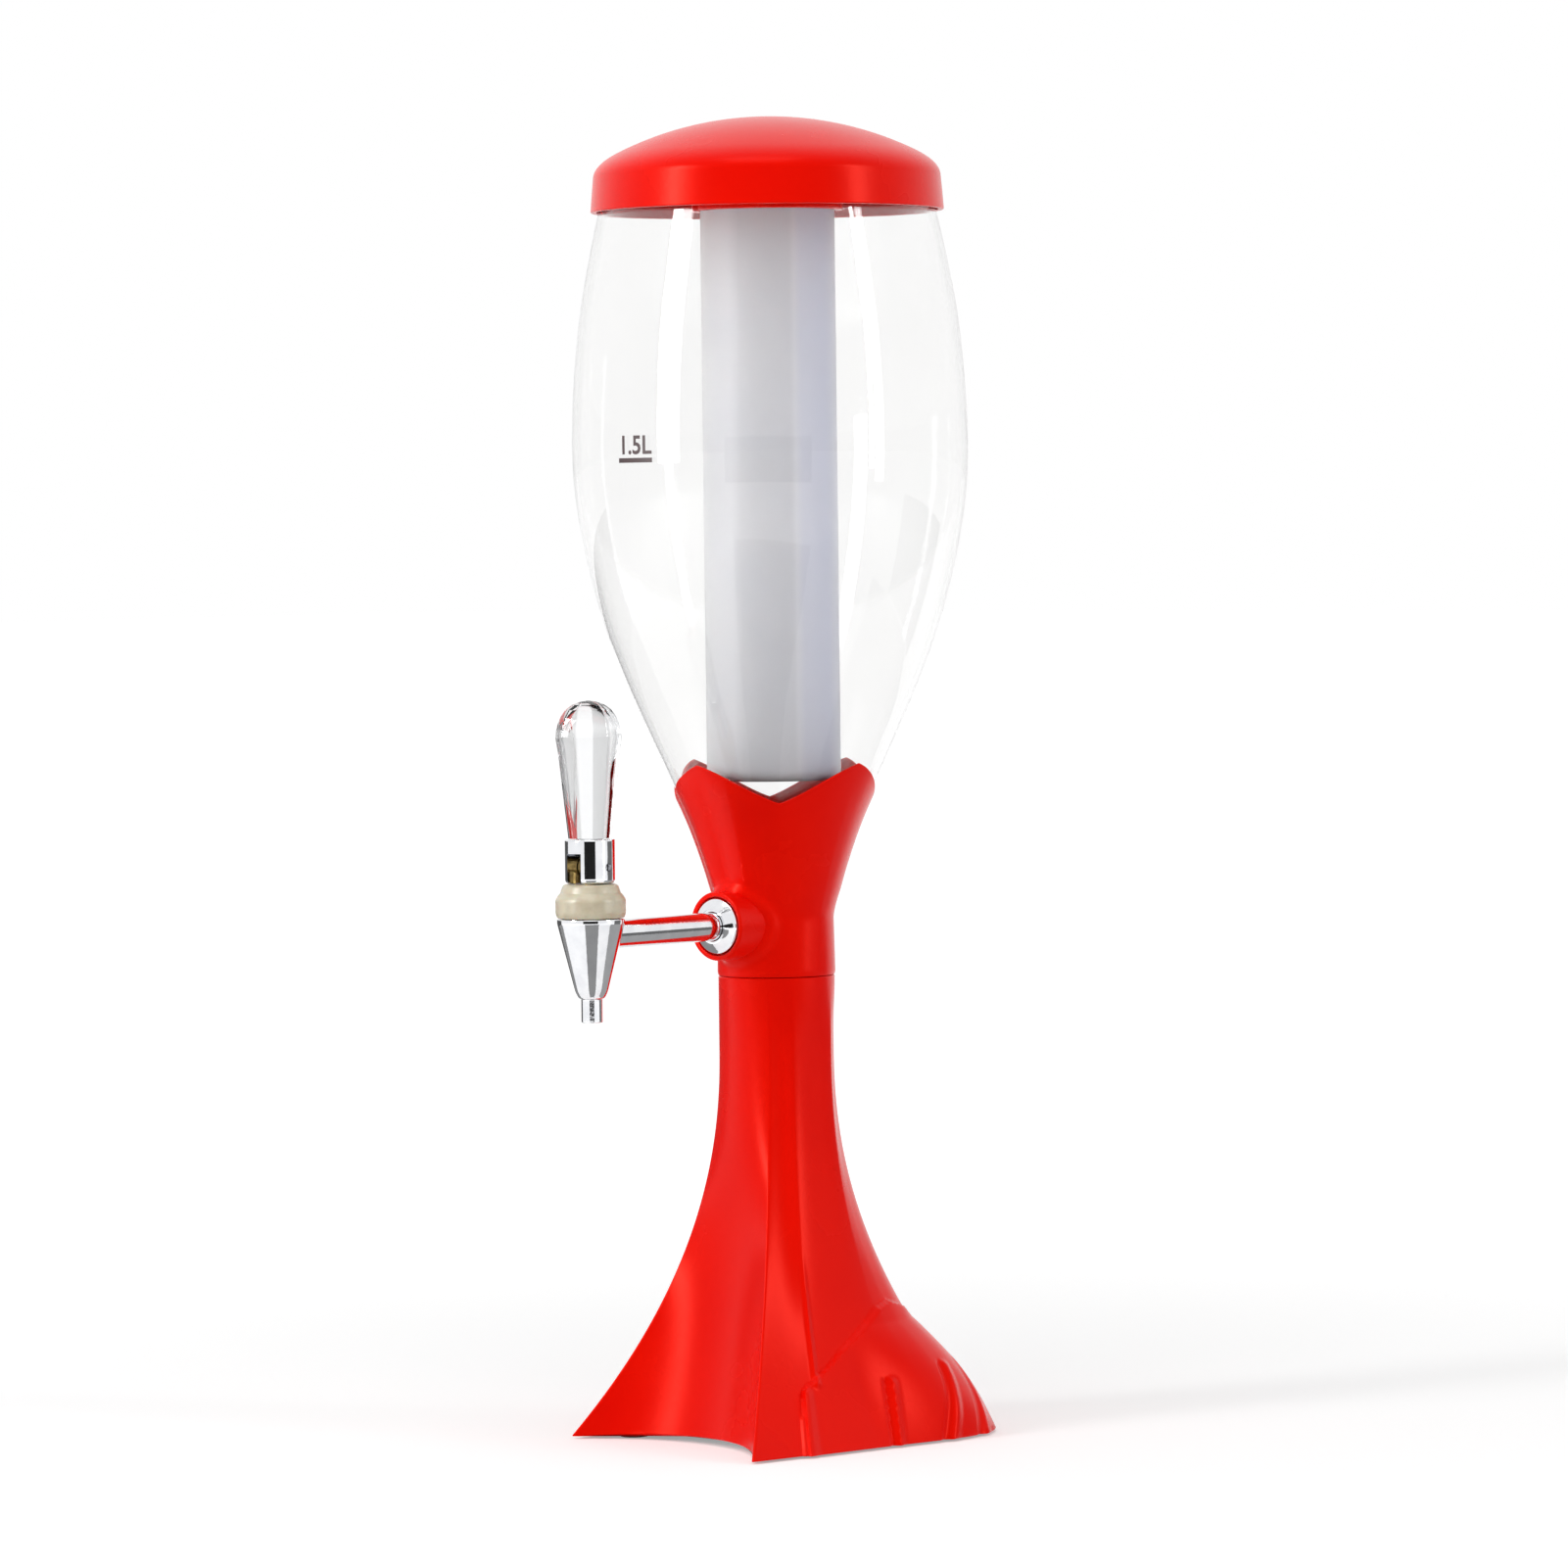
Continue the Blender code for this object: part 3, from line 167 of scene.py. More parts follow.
def flag(name, start, end, near, far, tone):
    """A dim card round the tap, from a near (reach, height) to a far one, that only gloss sees."""
    shape = bmesh.new()
    bmesh.ops.create_grid(shape, x_segments=16, y_segments=1, size=0.5)
    for vert in shape.verts:
        around = view_turn + math.radians(start + (end - start) * (vert.co.x + 0.5))
        reach, level = Vector(near).lerp(Vector(far), vert.co.y + 0.5)
        vert.co = Vector((reach * math.sin(around), -tap_reach - reach * math.cos(around), level))
    mesh = bpy.data.meshes.new(name)
    shape.to_mesh(mesh)
    shape.free()
    card = bpy.data.objects.new(name, mesh)
    scene.collection.objects.link(card)
    card.visible_camera = False
    card.visible_diffuse = False
    card.visible_transmission = False
    card.visible_shadow = False
    paint = bpy.data.materials.new(name)
    paint.use_nodes = True
    shader = paint.node_tree.nodes["Principled BSDF"]
    shader.inputs["Base Color"].default_value = (0.0, 0.0, 0.0, 1.0)
    shader.inputs["Specular IOR Level"].default_value = 0.0
    shader.inputs["Emission Color"].default_value = (tone, tone, tone, 1.0)
    shader.inputs["Emission Strength"].default_value = 1.0
    mesh.materials.append(paint)


flag("front_flag", -25, 26, (2.3, 0.0), (2.3, 0.45), 0.015)
flag("front_floor_flag", -20, 30, (0.10, 0.003), (0.90, 0.003), 0.30)
flag("right_flag", 88, 122, (0.9, 0.0), (0.9, 0.24), 0.16)
flag("right_floor_flag", 74, 132, (0.16, 0.003), (0.88, 0.003), 0.38)
flag("left_flag", -168, -118, (0.9, 0.0), (0.9, 0.24), 0.10)
flag("left_floor_flag", -160, -116, (0.16, 0.003), (0.88, 0.003), 0.30)

# Pedestal: one hollow moulding in gloss red ABS. It flares from a round neck into soft folds,
# two front fins and a leaf with toes over each side. The tower's neck plugs onto its spigot.
seam_height = 0.180
neck_radius = 0.0226
spigot_radius = 0.0203
spigot_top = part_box("pedestal")[1].z
pedestal_wall = 0.003
pedestal_twist = math.radians(-7.3)
hem_height = 0.001
hem_arch = 0.0016
flare_top = 0.150
flare_power = 2.15
hollow_reach = 0.037
hollow_radius = 0.071
hem_half_width = 0.058
fin_half_width = 0.0552
hem_back = 0.0725
front_steps = 44
side_steps = 24
tip_columns = 2
tip_steps = 12
hem_side_shares = ((0.972, 0.44), (0.975, 0.13), (0.977, -0.11), (0.992, -0.42), (0.985, -0.62),
                   (0.915, -0.83), (0.745, -0.985), (0.53, -0.99), (0.27, -0.86), (0.0, -0.80))
seam_round = 0.0004
neck_levels = 44
leaf_levels = 100
fold_crests = (-41, 41, 65, 116, 154, 206)
fold_depth = 0.0014
fold_fade = 0.030
fold_sharpness = 1.25
leaf_step = 0.0021
leaf_back_thinning = 0.35
leaf_edge = 0.0013
leaf_bulge = 0.0058
leaf_bulge_height = 0.046
leaf_height = 0.056
# The leaf's upper edge: turn from the front in degrees, share of the leaf's height
leaf_top_shares = ((56, 0.0), (57, 0.30), (58.5, 0.45), (65.5, 0.52), (82.5, 0.68), (105, 0.84),
                   (116.5, 0.93), (128, 0.97), (140, 0.92), (152, 0.70), (163, 0.35), (170, 0.0))
leaf_bulge_turns = (88, 128, 166)
# The leaf's front edge and those of its toes, which lap like scales: the turn at the hem, the
# turn gained up to the end, and the end's height
lap_lines = ((57.5, 0, 0.026), (97, 6, 0.027), (119, 12, 0.031), (133, 12, 0.031), (149, 8, 0.030))
lap_rise = 0.0013
lap_edge_turn = 1.5
lap_turn = 4.5
lap_fade_turns = (128, 152)
lap_groove = 0.0009
lap_groove_turn = 2.6
rib_turn = 65
rib_half_turn = 2.4
rib_rise = 0.0010
rib_low = 0.024
rib_high = 0.078
rib_taper = 1.5
red = (0.86, 0.0050, 0.0010)
deep_red = (0.83, 0.0038, 0.0008)


def moulded(name, colour, shade, roughness, mottle=90.0, grain=900.0, depth=0.00004, **settings):
    """A moulded or rolled finish: a slightly uneven colour, gloss that varies, and a fine skin."""
    finish = bpy.data.materials.new(name)
    finish.use_nodes = True
    nodes = finish.node_tree.nodes
    links = finish.node_tree.links
    shader = nodes["Principled BSDF"]
    for socket, value in settings.items():
        shader.inputs[socket.replace("_", " ")].default_value = value
    place = nodes.new("ShaderNodeTexCoord")
    cloud = nodes.new("ShaderNodeTexNoise")
    cloud.inputs["Scale"].default_value = mottle
    cloud.inputs["Detail"].default_value = 4.0
    shade_end, colour_start = 0.35, 0.60
    glossiest, dullest = 0.85, 1.20
    tint = nodes.new("ShaderNodeValToRGB")
    tint.color_ramp.elements[0].position = shade_end
    tint.color_ramp.elements[0].color = (*shade, 1.0)
    tint.color_ramp.elements[1].position = colour_start
    tint.color_ramp.elements[1].color = (*colour, 1.0)
    gloss = nodes.new("ShaderNodeMapRange")
    gloss.inputs["To Min"].default_value = roughness * glossiest
    gloss.inputs["To Max"].default_value = roughness * dullest
    skin = nodes.new("ShaderNodeTexNoise")
    skin.inputs["Scale"].default_value = grain
    skin.inputs["Detail"].default_value = 2.0
    bump = nodes.new("ShaderNodeBump")
    bump.inputs["Strength"].default_value = 0.6
    bump.inputs["Distance"].default_value = depth
    links.new(place.outputs["Object"], cloud.inputs["Vector"])
    links.new(place.outputs["Object"], skin.inputs["Vector"])
    links.new(cloud.outputs["Fac"], tint.inputs["Fac"])
    links.new(cloud.outputs["Fac"], gloss.inputs["Value"])
    links.new(tint.outputs["Color"], shader.inputs["Base Color"])
    links.new(gloss.outputs["Result"], shader.inputs["Roughness"])
    links.new(skin.outputs["Fac"], bump.inputs["Height"])
    links.new(bump.outputs["Normal"], shader.inputs["Normal"])
    return finish


def finished(name, shape, finish, crease=32):
    """Make a piece of a mesh, shaded smooth up to a crease angle, with its finish."""
    mesh = bpy.data.meshes.new(name)
    shape.to_mesh(mesh)
    shape.free()
    mesh.materials.append(finish)
    mesh.shade_smooth()
    mesh.set_sharp_from_angle(angle=math.radians(crease))
    made = bpy.data.objects.new(name, mesh)
    scene.collection.objects.link(made)
    return made


def read_off(table, value):
    """Straight-line reading of a table of (place, reading) pairs."""
    for (start, first), (end, second) in zip(table, table[1:]):
        if value <= end:
            return first + (second - first) * max(0.0, (value - start) / (end - start))
    return table[-1][1]


def eased(value):
    """Smooth step from 0 to 1."""
    value = min(1.0, max(0.0, value))
    return value * value * (3 - 2 * value)


def smooth_curve(points, steps):
    """Points on a smooth curve through the given ones."""
    ends = [2 * points[0] - points[1], *points, 2 * points[-1] - points[-2]]
    curve = []
    for before, start, end, after in zip(ends, ends[1:], ends[2:], ends[3:]):
        for step in range(steps):
            t = step / steps
            curve.append(0.5 * (2 * start + (end - before) * t
                                + (2 * before - 5 * start + 4 * end - after) * t * t
                                + (3 * start - before - 3 * end + after) * t ** 3))
    curve.append(points[-1])
    return curve


def bent(start, corner, end, share):
    """A point on the round that leads from start to end under a corner."""
    return start.lerp(corner, share).lerp(corner.lerp(end, share), share)


def hem_columns():
    """Each column of the pedestal: its hem point, (to the side, to the front), and its neck turn."""
    fin_turn = math.asin(fin_half_width / hollow_radius)
    centre = hollow_reach + hollow_radius
    tip = Vector((fin_half_width, centre - hollow_radius * math.cos(fin_turn)))
    tip_turn = math.atan2(tip.x, tip.y)
    columns = [(Vector((hollow_radius * math.sin(fin_turn * step / front_steps),
                        centre - hollow_radius * math.cos(fin_turn * step / front_steps))),
                tip_turn * step / front_steps)
               for step in range(front_steps - tip_columns + 1)]
    side = [tip] + [Vector((across * hem_half_width, along * hem_back)) for across, along in hem_side_shares]
    side = [(point, math.atan2(point.x, point.y)) for point in smooth_curve(side, side_steps)][tip_columns:]
    (start, start_turn), (end, end_turn) = columns[-1], side[0]
    for step in range(1, tip_steps):
        t = step / tip_steps
        columns.append((bent(start, tip, end, t), start_turn + (end_turn - start_turn) * t))
    columns += side
    return columns + [(Vector((-point.x, point.y)), -turn) for point, turn in reversed(columns[1:-1])]


columns = hem_columns()


def fold_valley(turn):
    """How far a turn lies in a fold's valley: 0 on a crest, 1 midway between two crests."""
    turn = abs(math.degrees(turn))
    for start, end in zip(fold_crests, fold_crests[1:]):
        if turn <= end:
            return math.sin(math.pi * (turn - start) / (end - start)) ** fold_sharpness
    return 0.0


def leaf_swell(turn, height):
    """How far the leaf, its lapping toes and the rib above it stand proud at a place."""
    turn = abs(math.degrees(turn))
    edge = read_off(leaf_top_shares, turn) * leaf_height
    inside = eased((edge - height) / leaf_edge) if turn > leaf_top_shares[0][0] and edge > 0.0 else 0.0
    start, full, fade = leaf_bulge_turns
    bulge = eased((turn - start) / (full - start))
    bulge *= 1 - eased((turn - fade) / (fade - full))
    bulge *= math.sin(math.pi * min(1.0, height / leaf_bulge_height))
    lap = 0.0
    for at, lean, top in lap_lines:
        below = eased((top - height) / leaf_edge / 2)
        past = turn - at - lean * height / top
        if past < 0.0:
            lap -= lap_groove * (1 - eased(-past / lap_groove_turn)) * below
        else:
            lap += (lap_rise * (1 - eased((past - lap_edge_turn) / lap_turn))
                    - (lap_groove + lap_rise) * (1 - eased(past / lap_edge_turn))) * below
    fade_start, fade_end = lap_fade_turns
    flat = eased((turn - fade_start) / (fade_end - fade_start))
    rib = rib_rise * (1 - eased(abs(turn - rib_turn) / rib_half_turn))
    rib *= (eased((height - rib_low) / leaf_edge / 2)
            * eased((rib_high - height) / (rib_high - rib_low) * rib_taper))
    leaf = inside * (leaf_step * (1 - flat * leaf_back_thinning) + lap * (1 - flat))
    return leaf + leaf_bulge * bulge + rib


def pedestal_ring(height):
    """The outer surface at a height, as (to the side, to the front) points."""
    flare = max(0.0, 1 - height / flare_top) ** flare_power
    folds = fold_depth * eased((seam_height - height) / fold_fade)
    ring = []
    for hem, turn in columns:
        radius = neck_radius - folds * fold_valley(turn) * (1 - flare)
        point = (Vector((math.sin(turn), math.cos(turn))) * radius).lerp(hem, flare)
        ring.append(point + point.normalized() * leaf_swell(math.atan2(hem.x, hem.y), height))
    return ring


def inset_ring(ring, wall):
    """Points inside a ring, at least a wall away from it, one for each column's turn."""
    edge = [start.lerp(end, share) for start, end in zip(ring, ring[1:] + ring[:1]) for share in (0.0, 0.5)]
    reach_at = [(math.atan2(point.x, point.y), point) for point in edge]
    inner = []
    for _, turn in columns:
        way = Vector((math.sin(turn), math.cos(turn)))
        reach = max(point.length for point in edge)
        for spot, point in reach_at:
            if abs((spot - turn + math.pi) % (2 * math.pi) - math.pi) > math.radians(30):
                continue
            along = point.dot(way)
            aside = (point - way * along).length
            if along > 0.0 and aside < wall:
                reach = min(reach, along - math.sqrt(wall * wall - aside * aside))
        inner.append(way * reach)
    return inner


def placed_ring(ring, height, arch=0.0):
    """Put a ring of (to the side, to the front) points at a height, turned as the pedestal is."""
    placed = []
    for index, point in enumerate(ring):
        share = min(1.0, min(index, len(ring) - index) / front_steps)
        side = point.x * math.cos(pedestal_twist) + point.y * math.sin(pedestal_twist)
        front = point.y * math.cos(pedestal_twist) - point.x * math.sin(pedestal_twist)
        placed.append(Vector((side, -front, height + arch * math.cos(math.pi / 2 * share))))
    return placed


def round_ring(radius):
    return [Vector((math.sin(turn), math.cos(turn))) * radius for _, turn in columns]


def drawn_through(rings, close=False):
    """Draw one loop of edges through a row of rings, so that it leaves a skin behind it."""
    shape = bmesh.new()
    count = len(rings[0])
    loop = bmesh.ops.create_circle(shape, segments=count, radius=1.0)["verts"]
    first = loop
    for vert, point in zip(loop, rings[0]):
        vert.co = point
    for ring in rings[1:]:
        edges = [shape.edges.get((loop[index], loop[(index + 1) % count])) for index in range(count)]
        grown = bmesh.ops.extrude_edge_only(shape, edges=edges)["geom"]
        fresh = {item for item in grown if isinstance(item, bmesh.types.BMVert)}
        loop = [next(edge.other_vert(vert) for edge in vert.link_edges if edge.other_vert(vert) in fresh)
                for vert in loop]
        for vert, point in zip(loop, ring):
            vert.co = point
    if close:
        ends = [shape.edges.get((row[index], row[(index + 1) % count])) for row in (first, loop)
                for index in range(count)]
        bmesh.ops.bridge_loops(shape, edges=ends)
    bmesh.ops.recalc_face_normals(shape, faces=shape.faces)
    return shape


cover_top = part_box("bottom_cover")[1].z
leaf_room = 0.072
levels = [seam_height - (seam_height - leaf_room) * step / neck_levels for step in range(1, neck_levels + 1)]
levels += [leaf_room - (leaf_room - hem_height * 2) * step / leaf_levels for step in range(1, leaf_levels)]
hem = pedestal_ring(hem_height)
rings = [placed_ring(round_ring(spigot_radius), spigot_top),
         placed_ring(round_ring(spigot_radius), seam_height),
         placed_ring(round_ring(neck_radius - seam_round), seam_height),
         placed_ring(round_ring(neck_radius), seam_height - seam_round)]
rings += [placed_ring(pedestal_ring(level), level) for level in levels]
rings += [placed_ring(pedestal_ring(hem_height * 1.4), hem_height * 1.4, hem_arch),
          placed_ring([point - point.normalized() * seam_round for point in hem], hem_height, hem_arch),
          placed_ring(inset_ring(hem, pedestal_wall), hem_height, hem_arch),
          placed_ring(inset_ring(pedestal_ring(cover_top), pedestal_wall), cover_top)]
rings += [placed_ring(inset_ring(pedestal_ring(level), pedestal_wall), level)
          for level in (0.014, 0.028, 0.046, 0.070, 0.104, 0.140)]
rings += [placed_ring(round_ring(neck_radius - pedestal_wall - fold_depth), seam_height - 0.005),
          placed_ring(round_ring(spigot_radius - pedestal_wall), seam_height - 0.0025),
          placed_ring(round_ring(spigot_radius - pedestal_wall), spigot_top)]
gloss_red = moulded("gloss_red", red, deep_red, 0.26, mottle=26.0, grain=420.0, depth=0.00005,
                    Specular_Tint=(1.0, 0.055, 0.022, 1.0), Specular_IOR_Level=0.38)
pedestal = finished("pedestal_moulding", drawn_through(rings, close=True), gloss_red)
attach(pedestal, "tower")
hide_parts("pedestal")

# Bottom cover: a flat black plate let into the hem, held by four screws from below. Four
# rubber pads stuck over the screws carry the tower.
textured_black = moulded("textured_black", (0.030, 0.030, 0.031), (0.018, 0.018, 0.019), 0.55,
                         mottle=220.0, grain=1500.0, depth=0.0002)
bright_zinc = moulded("bright_zinc", (0.62, 0.62, 0.64), (0.44, 0.44, 0.47), 0.28,
                      mottle=700.0, grain=2600.0, depth=0.00004, Metallic=1.0)
pad_rubber = moulded("pad_rubber", (0.028, 0.028, 0.028), (0.014, 0.014, 0.014), 0.80,
                     mottle=500.0, grain=2200.0, depth=0.00015)


def refinished(node, finish):
    """Give a CAD node that stays in view its finish."""
    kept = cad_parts[node]
    kept.data.materials.clear()
    kept.data.materials.append(finish)


refinished("bottom_cover", textured_black)
for number in range(1, 5):
    refinished("cover_screw_%d" % number, bright_zinc)
    refinished("foot_pad_%d" % number, pad_rubber)

# Collar: the red cup that grips the tank's neck, with four petals standing up round the
# tank and a boss for the tap. It is moulded in one piece with the boss.
tank_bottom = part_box("tank")[0].z
tank_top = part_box("tank")[1].z
tank_height = tank_top - tank_bottom
tank_radius = 0.0766
tank_neck = 0.0202
neck_flare = 0.0107
neck_flare_power = 1.35
tank_steps = 144
tank_shares = ((0.302, 0.088), (0.345, 0.124), (0.416, 0.174), (0.516, 0.231), (0.556, 0.254),
               (0.661, 0.314), (0.756, 0.372), (0.849, 0.438), (0.933, 0.520), (0.985, 0.600),
               (1.0, 0.665), (0.990, 0.745), (0.956, 0.838), (0.901, 0.917), (0.832, 1.0))
collar_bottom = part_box("collar")[0].z
collar_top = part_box("collar")[1].z
collar_gap = 0.0004
collar_wall = 0.0023
collar_rim = 0.0013
petals = 4
petal_depth = 0.0148
petal_round = 0.35
petal_crease = 0.00045
petal_crease_power = 3
petal_crease_middle = 0.35
front_crease = 0.0017
front_crease_turn = math.radians(16.9)
front_crease_spread = math.radians(15)
front_crease_fade = 0.012
collar_columns = 192
collar_levels = 56
boss_radius = 0.0133
boss_reach = 0.0345
boss_lip = 0.0019
boss_recess = 0.003
boss_round = 0.0007
boss_fillet = 0.0026
boss_fillet_spread = 1.6
tap_height = (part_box("tap_shank")[0].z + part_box("tap_shank")[1].z) / 2


def tank_profile():
    """The tank's outside as (radius, height) from the neck's top to the mouth, on a smooth curve."""
    wall = [Vector((share * tank_radius, tank_bottom + level * tank_height)) for share, level in tank_shares]
    return [(point.x, point.y) for point in smooth_curve(wall, 4)]


tank_wall_line = tank_profile()


def tank_reach(height):
    """The tank's outer radius at a height."""
    if height <= tank_wall_line[0][1]:
        start = Vector((tank_neck, tank_wall_line[0][1] - neck_flare))
        share = max(0.0, (height - start.y) / (tank_wall_line[0][1] - start.y))
        return tank_neck + (tank_wall_line[0][0] - tank_neck) * share ** neck_flare_power
    return read_off([(level, radius) for radius, level in tank_wall_line], height)


def petal_swing(turn):
    """How far a turn lies from the notch between two petals (0) to a petal's tip (1)."""
    return abs((turn * petals / math.pi) % 2 - 1)


def petal_top(turn):
    """Height of the collar's rim, with softly rounded tips and notches."""
    swing = petal_swing(turn)
    rise = swing + (eased(swing) - swing) * petal_round
    return collar_top - petal_depth * (1 - rise)


def collar_reach(turn, height):
    """The collar's outside: soft creases below the petals, a fold each side of the boss, its fillet."""
    share = (height - collar_bottom) / (collar_top - collar_bottom)
    reach = tank_reach(height) + collar_gap + collar_wall + (collar_rim - collar_wall) * share
    crease = petal_crease * (petal_swing(turn) ** petal_crease_power - petal_crease_middle)
    reach += crease * eased(share * 3) * eased((1 - share) * 4)
    aside = min(abs(abs(turn) - front_crease_turn), abs(2 * math.pi - turn - front_crease_turn))
    fold = max(0.0, 1 - aside / front_crease_spread) * eased((collar_top - height) / front_crease_fade)
    reach += front_crease * fold * eased((height - tap_height - boss_radius / 2) / front_crease_fade)
    side = reach * math.sin(turn)
    if math.cos(turn) > 0.0:
        from_boss = math.hypot(side, height - tap_height) - boss_radius
        fillet = 1 - eased(from_boss / boss_fillet / boss_fillet_spread)
        reach += boss_fillet * fillet * max(0.0, math.cos(turn))
    return reach


def collar_rings():
    """Rings up the outside to the rim, over its rounded edge and down the inside to the seam."""
    turns = [2 * math.pi * step / collar_columns for step in range(collar_columns)]
    rim = [petal_top(turn) for turn in turns]
    rings = []
    for level in range(collar_levels + 1):
        share = level / collar_levels
        ring = []
        for turn, top in zip(turns, rim):
            height = collar_bottom + (min(top, collar_top) - collar_rim / 3 - collar_bottom) * share
            reach = collar_reach(turn, height) - (0.0003 if level == 0 else 0.0)
            ring.append(Vector((reach * math.sin(turn), -reach * math.cos(turn), height)))
        rings.append(ring)
    for inward in (0.25, 0.5, 0.75):
        ring = []
        for turn, top in zip(turns, rim):
            height = min(top, collar_top) - collar_rim / 3 * (2 * abs(inward - 0.5)) ** 2
            outer = collar_reach(turn, height)
            reach = outer + (tank_reach(height) + collar_gap - outer) * inward
            ring.append(Vector((reach * math.sin(turn), -reach * math.cos(turn), height)))
        rings.append(ring)
    for level in range(collar_levels, -1, -2):
        share = level / collar_levels
        ring = []
        for turn, top in zip(turns, rim):
            height = collar_bottom + (min(top, collar_top) - collar_rim / 3 - collar_bottom) * share
            reach = tank_reach(height) + collar_gap
            ring.append(Vector((reach * math.sin(turn), -reach * math.cos(turn), height)))
        rings.append(ring)
    return rings


def turned(profile, steps=96, ring=False):
    """Spin a profile of (radius, height) about Z into a closed skin."""
    shape = bmesh.new()
    corners = [shape.verts.new((radius, 0.0, height)) for radius, height in profile]
    pairs = list(zip(corners, corners[1:]))
    if ring:
        pairs.append((corners[-1], corners[0]))
    edges = [shape.edges.new(pair) for pair in pairs]
    bmesh.ops.spin(shape, geom=corners + edges, axis=(0.0, 0.0, 1.0), cent=(0.0, 0.0, 0.0),
                   angle=2 * math.pi, steps=steps, use_merge=True)
    bmesh.ops.remove_doubles(shape, verts=shape.verts, dist=0.000001)
    bmesh.ops.recalc_face_normals(shape, faces=shape.faces)
    return shape


def rounded(corners, steps=4):
    """Round the corners that give a radius as their third value. Past each end of a round a support
    follows where a long wall begins, so that the wall is shaded straight."""
    profile = []
    for index, corner in enumerate(corners):
        here = Vector(corner[:2])
        if len(corner) == 2:
            profile.append(tuple(here))
            continue
        before = Vector(corners[index - 1][:2]) - here
        after = Vector(corners[(index + 1) % len(corners)][:2]) - here
        start, end = before.normalized() * corner[2], after.normalized() * corner[2]
        if before.length > corner[2] * 5:
            profile.append(tuple(here + start * 1.4))
        for step in range(steps + 1):
            t = step / steps
            profile.append(tuple(here + start * (1 - t) ** 2 + end * t ** 2))
        if after.length > corner[2] * 5:
            profile.append(tuple(here + end * 1.4))
    return profile


def laid_forward(shape, height):
    """Lay a piece that was turned about Z along the tap's shank: its top end points to the front."""
    bmesh.ops.rotate(shape, verts=shape.verts, matrix=Matrix.Rotation(math.radians(90), 3, "X"))
    bmesh.ops.translate(shape, verts=shape.verts, vec=(0.0, 0.0, height))
    return shape


def combined(piece, steps, crease=32):
    """Join tools to a piece or cut them out of it for good, one after the other, and remove them."""
    for operation, tool in steps:
        step = piece.modifiers.new(tool.name, "BOOLEAN")
        step.operation = operation
        step.object = tool
    bpy.context.view_layer.update()
    mesh = bpy.data.meshes.new_from_object(piece.evaluated_get(bpy.context.evaluated_depsgraph_get()))
    piece.modifiers.clear()
    piece.data = mesh
    mesh.shade_smooth()
    mesh.set_sharp_from_angle(angle=math.radians(crease))
    for operation, tool in steps:
        bpy.data.objects.remove(tool)


boss_back = 0.010
shank_hole = 0.0058
boss = finished("tap_boss", laid_forward(turned(rounded([
    (boss_radius, boss_back), (boss_radius, boss_reach, boss_round),
    (boss_radius - boss_lip, boss_reach, boss_round * 0.8),
    (boss_radius - boss_lip, boss_reach - boss_recess),
    (shank_hole, boss_reach - boss_recess), (shank_hole, boss_back)]), ring=True), tap_height), gloss_red)
collar = finished("tank_collar", drawn_through(collar_rings(), close=True), gloss_red)
neck_end = tank_wall_line[0][1] - neck_flare
hollow = finished("collar_hollow", turned([
    (0.0, collar_bottom - 0.001), (tank_neck + collar_gap, collar_bottom - 0.001),
    (tank_neck + collar_gap, neck_end), (0.0, neck_end)]), gloss_red)
bore = finished("collar_bore", laid_forward(turned([
    (0.0, 0.0), (shank_hole, 0.0), (shank_hole, boss_reach), (0.0, boss_reach)], steps=48),
    tap_height), gloss_red)
combined(collar, [("UNION", boss), ("DIFFERENCE", hollow), ("DIFFERENCE", bore)])
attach(collar, "tower")
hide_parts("collar")

# Tank: blown clear plastic shaped like an egg, open at the top. A straight neck below plugs
# into the collar. The filling mark is printed on its front.
tank_wall = 0.002
tank_floor = 0.0025
clear_plastic = moulded("clear_plastic", (0.972, 0.971, 0.968), (0.955, 0.954, 0.952), 0.022,
                        mottle=14.0, grain=40.0, depth=0.00006, Transmission_Weight=1.0, IOR=1.46)


def tank_shape():
    """Up the outside, over the rounded mouth and down the inside, a wall away."""
    outer = [(tank_reach(level), level) for _, level in tank_wall_line]
    neck = [(tank_reach(level), level) for level in
            (tank_bottom + 0.0155, tank_bottom + 0.018, tank_bottom + 0.0205, tank_bottom + 0.0235)]
    side = [(tank_neck, tank_bottom + 0.001)] + neck + outer[:-1]
    lip = tank_top - 0.0006
    outside = side + [(tank_reach(tank_top), lip), (tank_reach(tank_top) - 0.0006, tank_top)]
    inside = [(radius - tank_wall, level) for radius, level in outside[1:-2]]
    inside += [(tank_reach(tank_top) - tank_wall, lip), (tank_reach(tank_top) - tank_wall + 0.0006, tank_top)]
    bottom = [(0.0, tank_bottom), (tank_neck - 0.001, tank_bottom)]
    floor_line = [(0.0, tank_bottom + tank_floor), (tank_neck - tank_wall - 0.001, tank_bottom + tank_floor),
                  (tank_neck - tank_wall, tank_bottom + tank_floor + 0.001)]
    return turned(bottom + outside + list(reversed(inside)) + list(reversed(floor_line)), steps=tank_steps)


tank = finished("clear_tank", tank_shape(), clear_plastic, crease=60)
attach(tank, "tower")
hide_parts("tank")

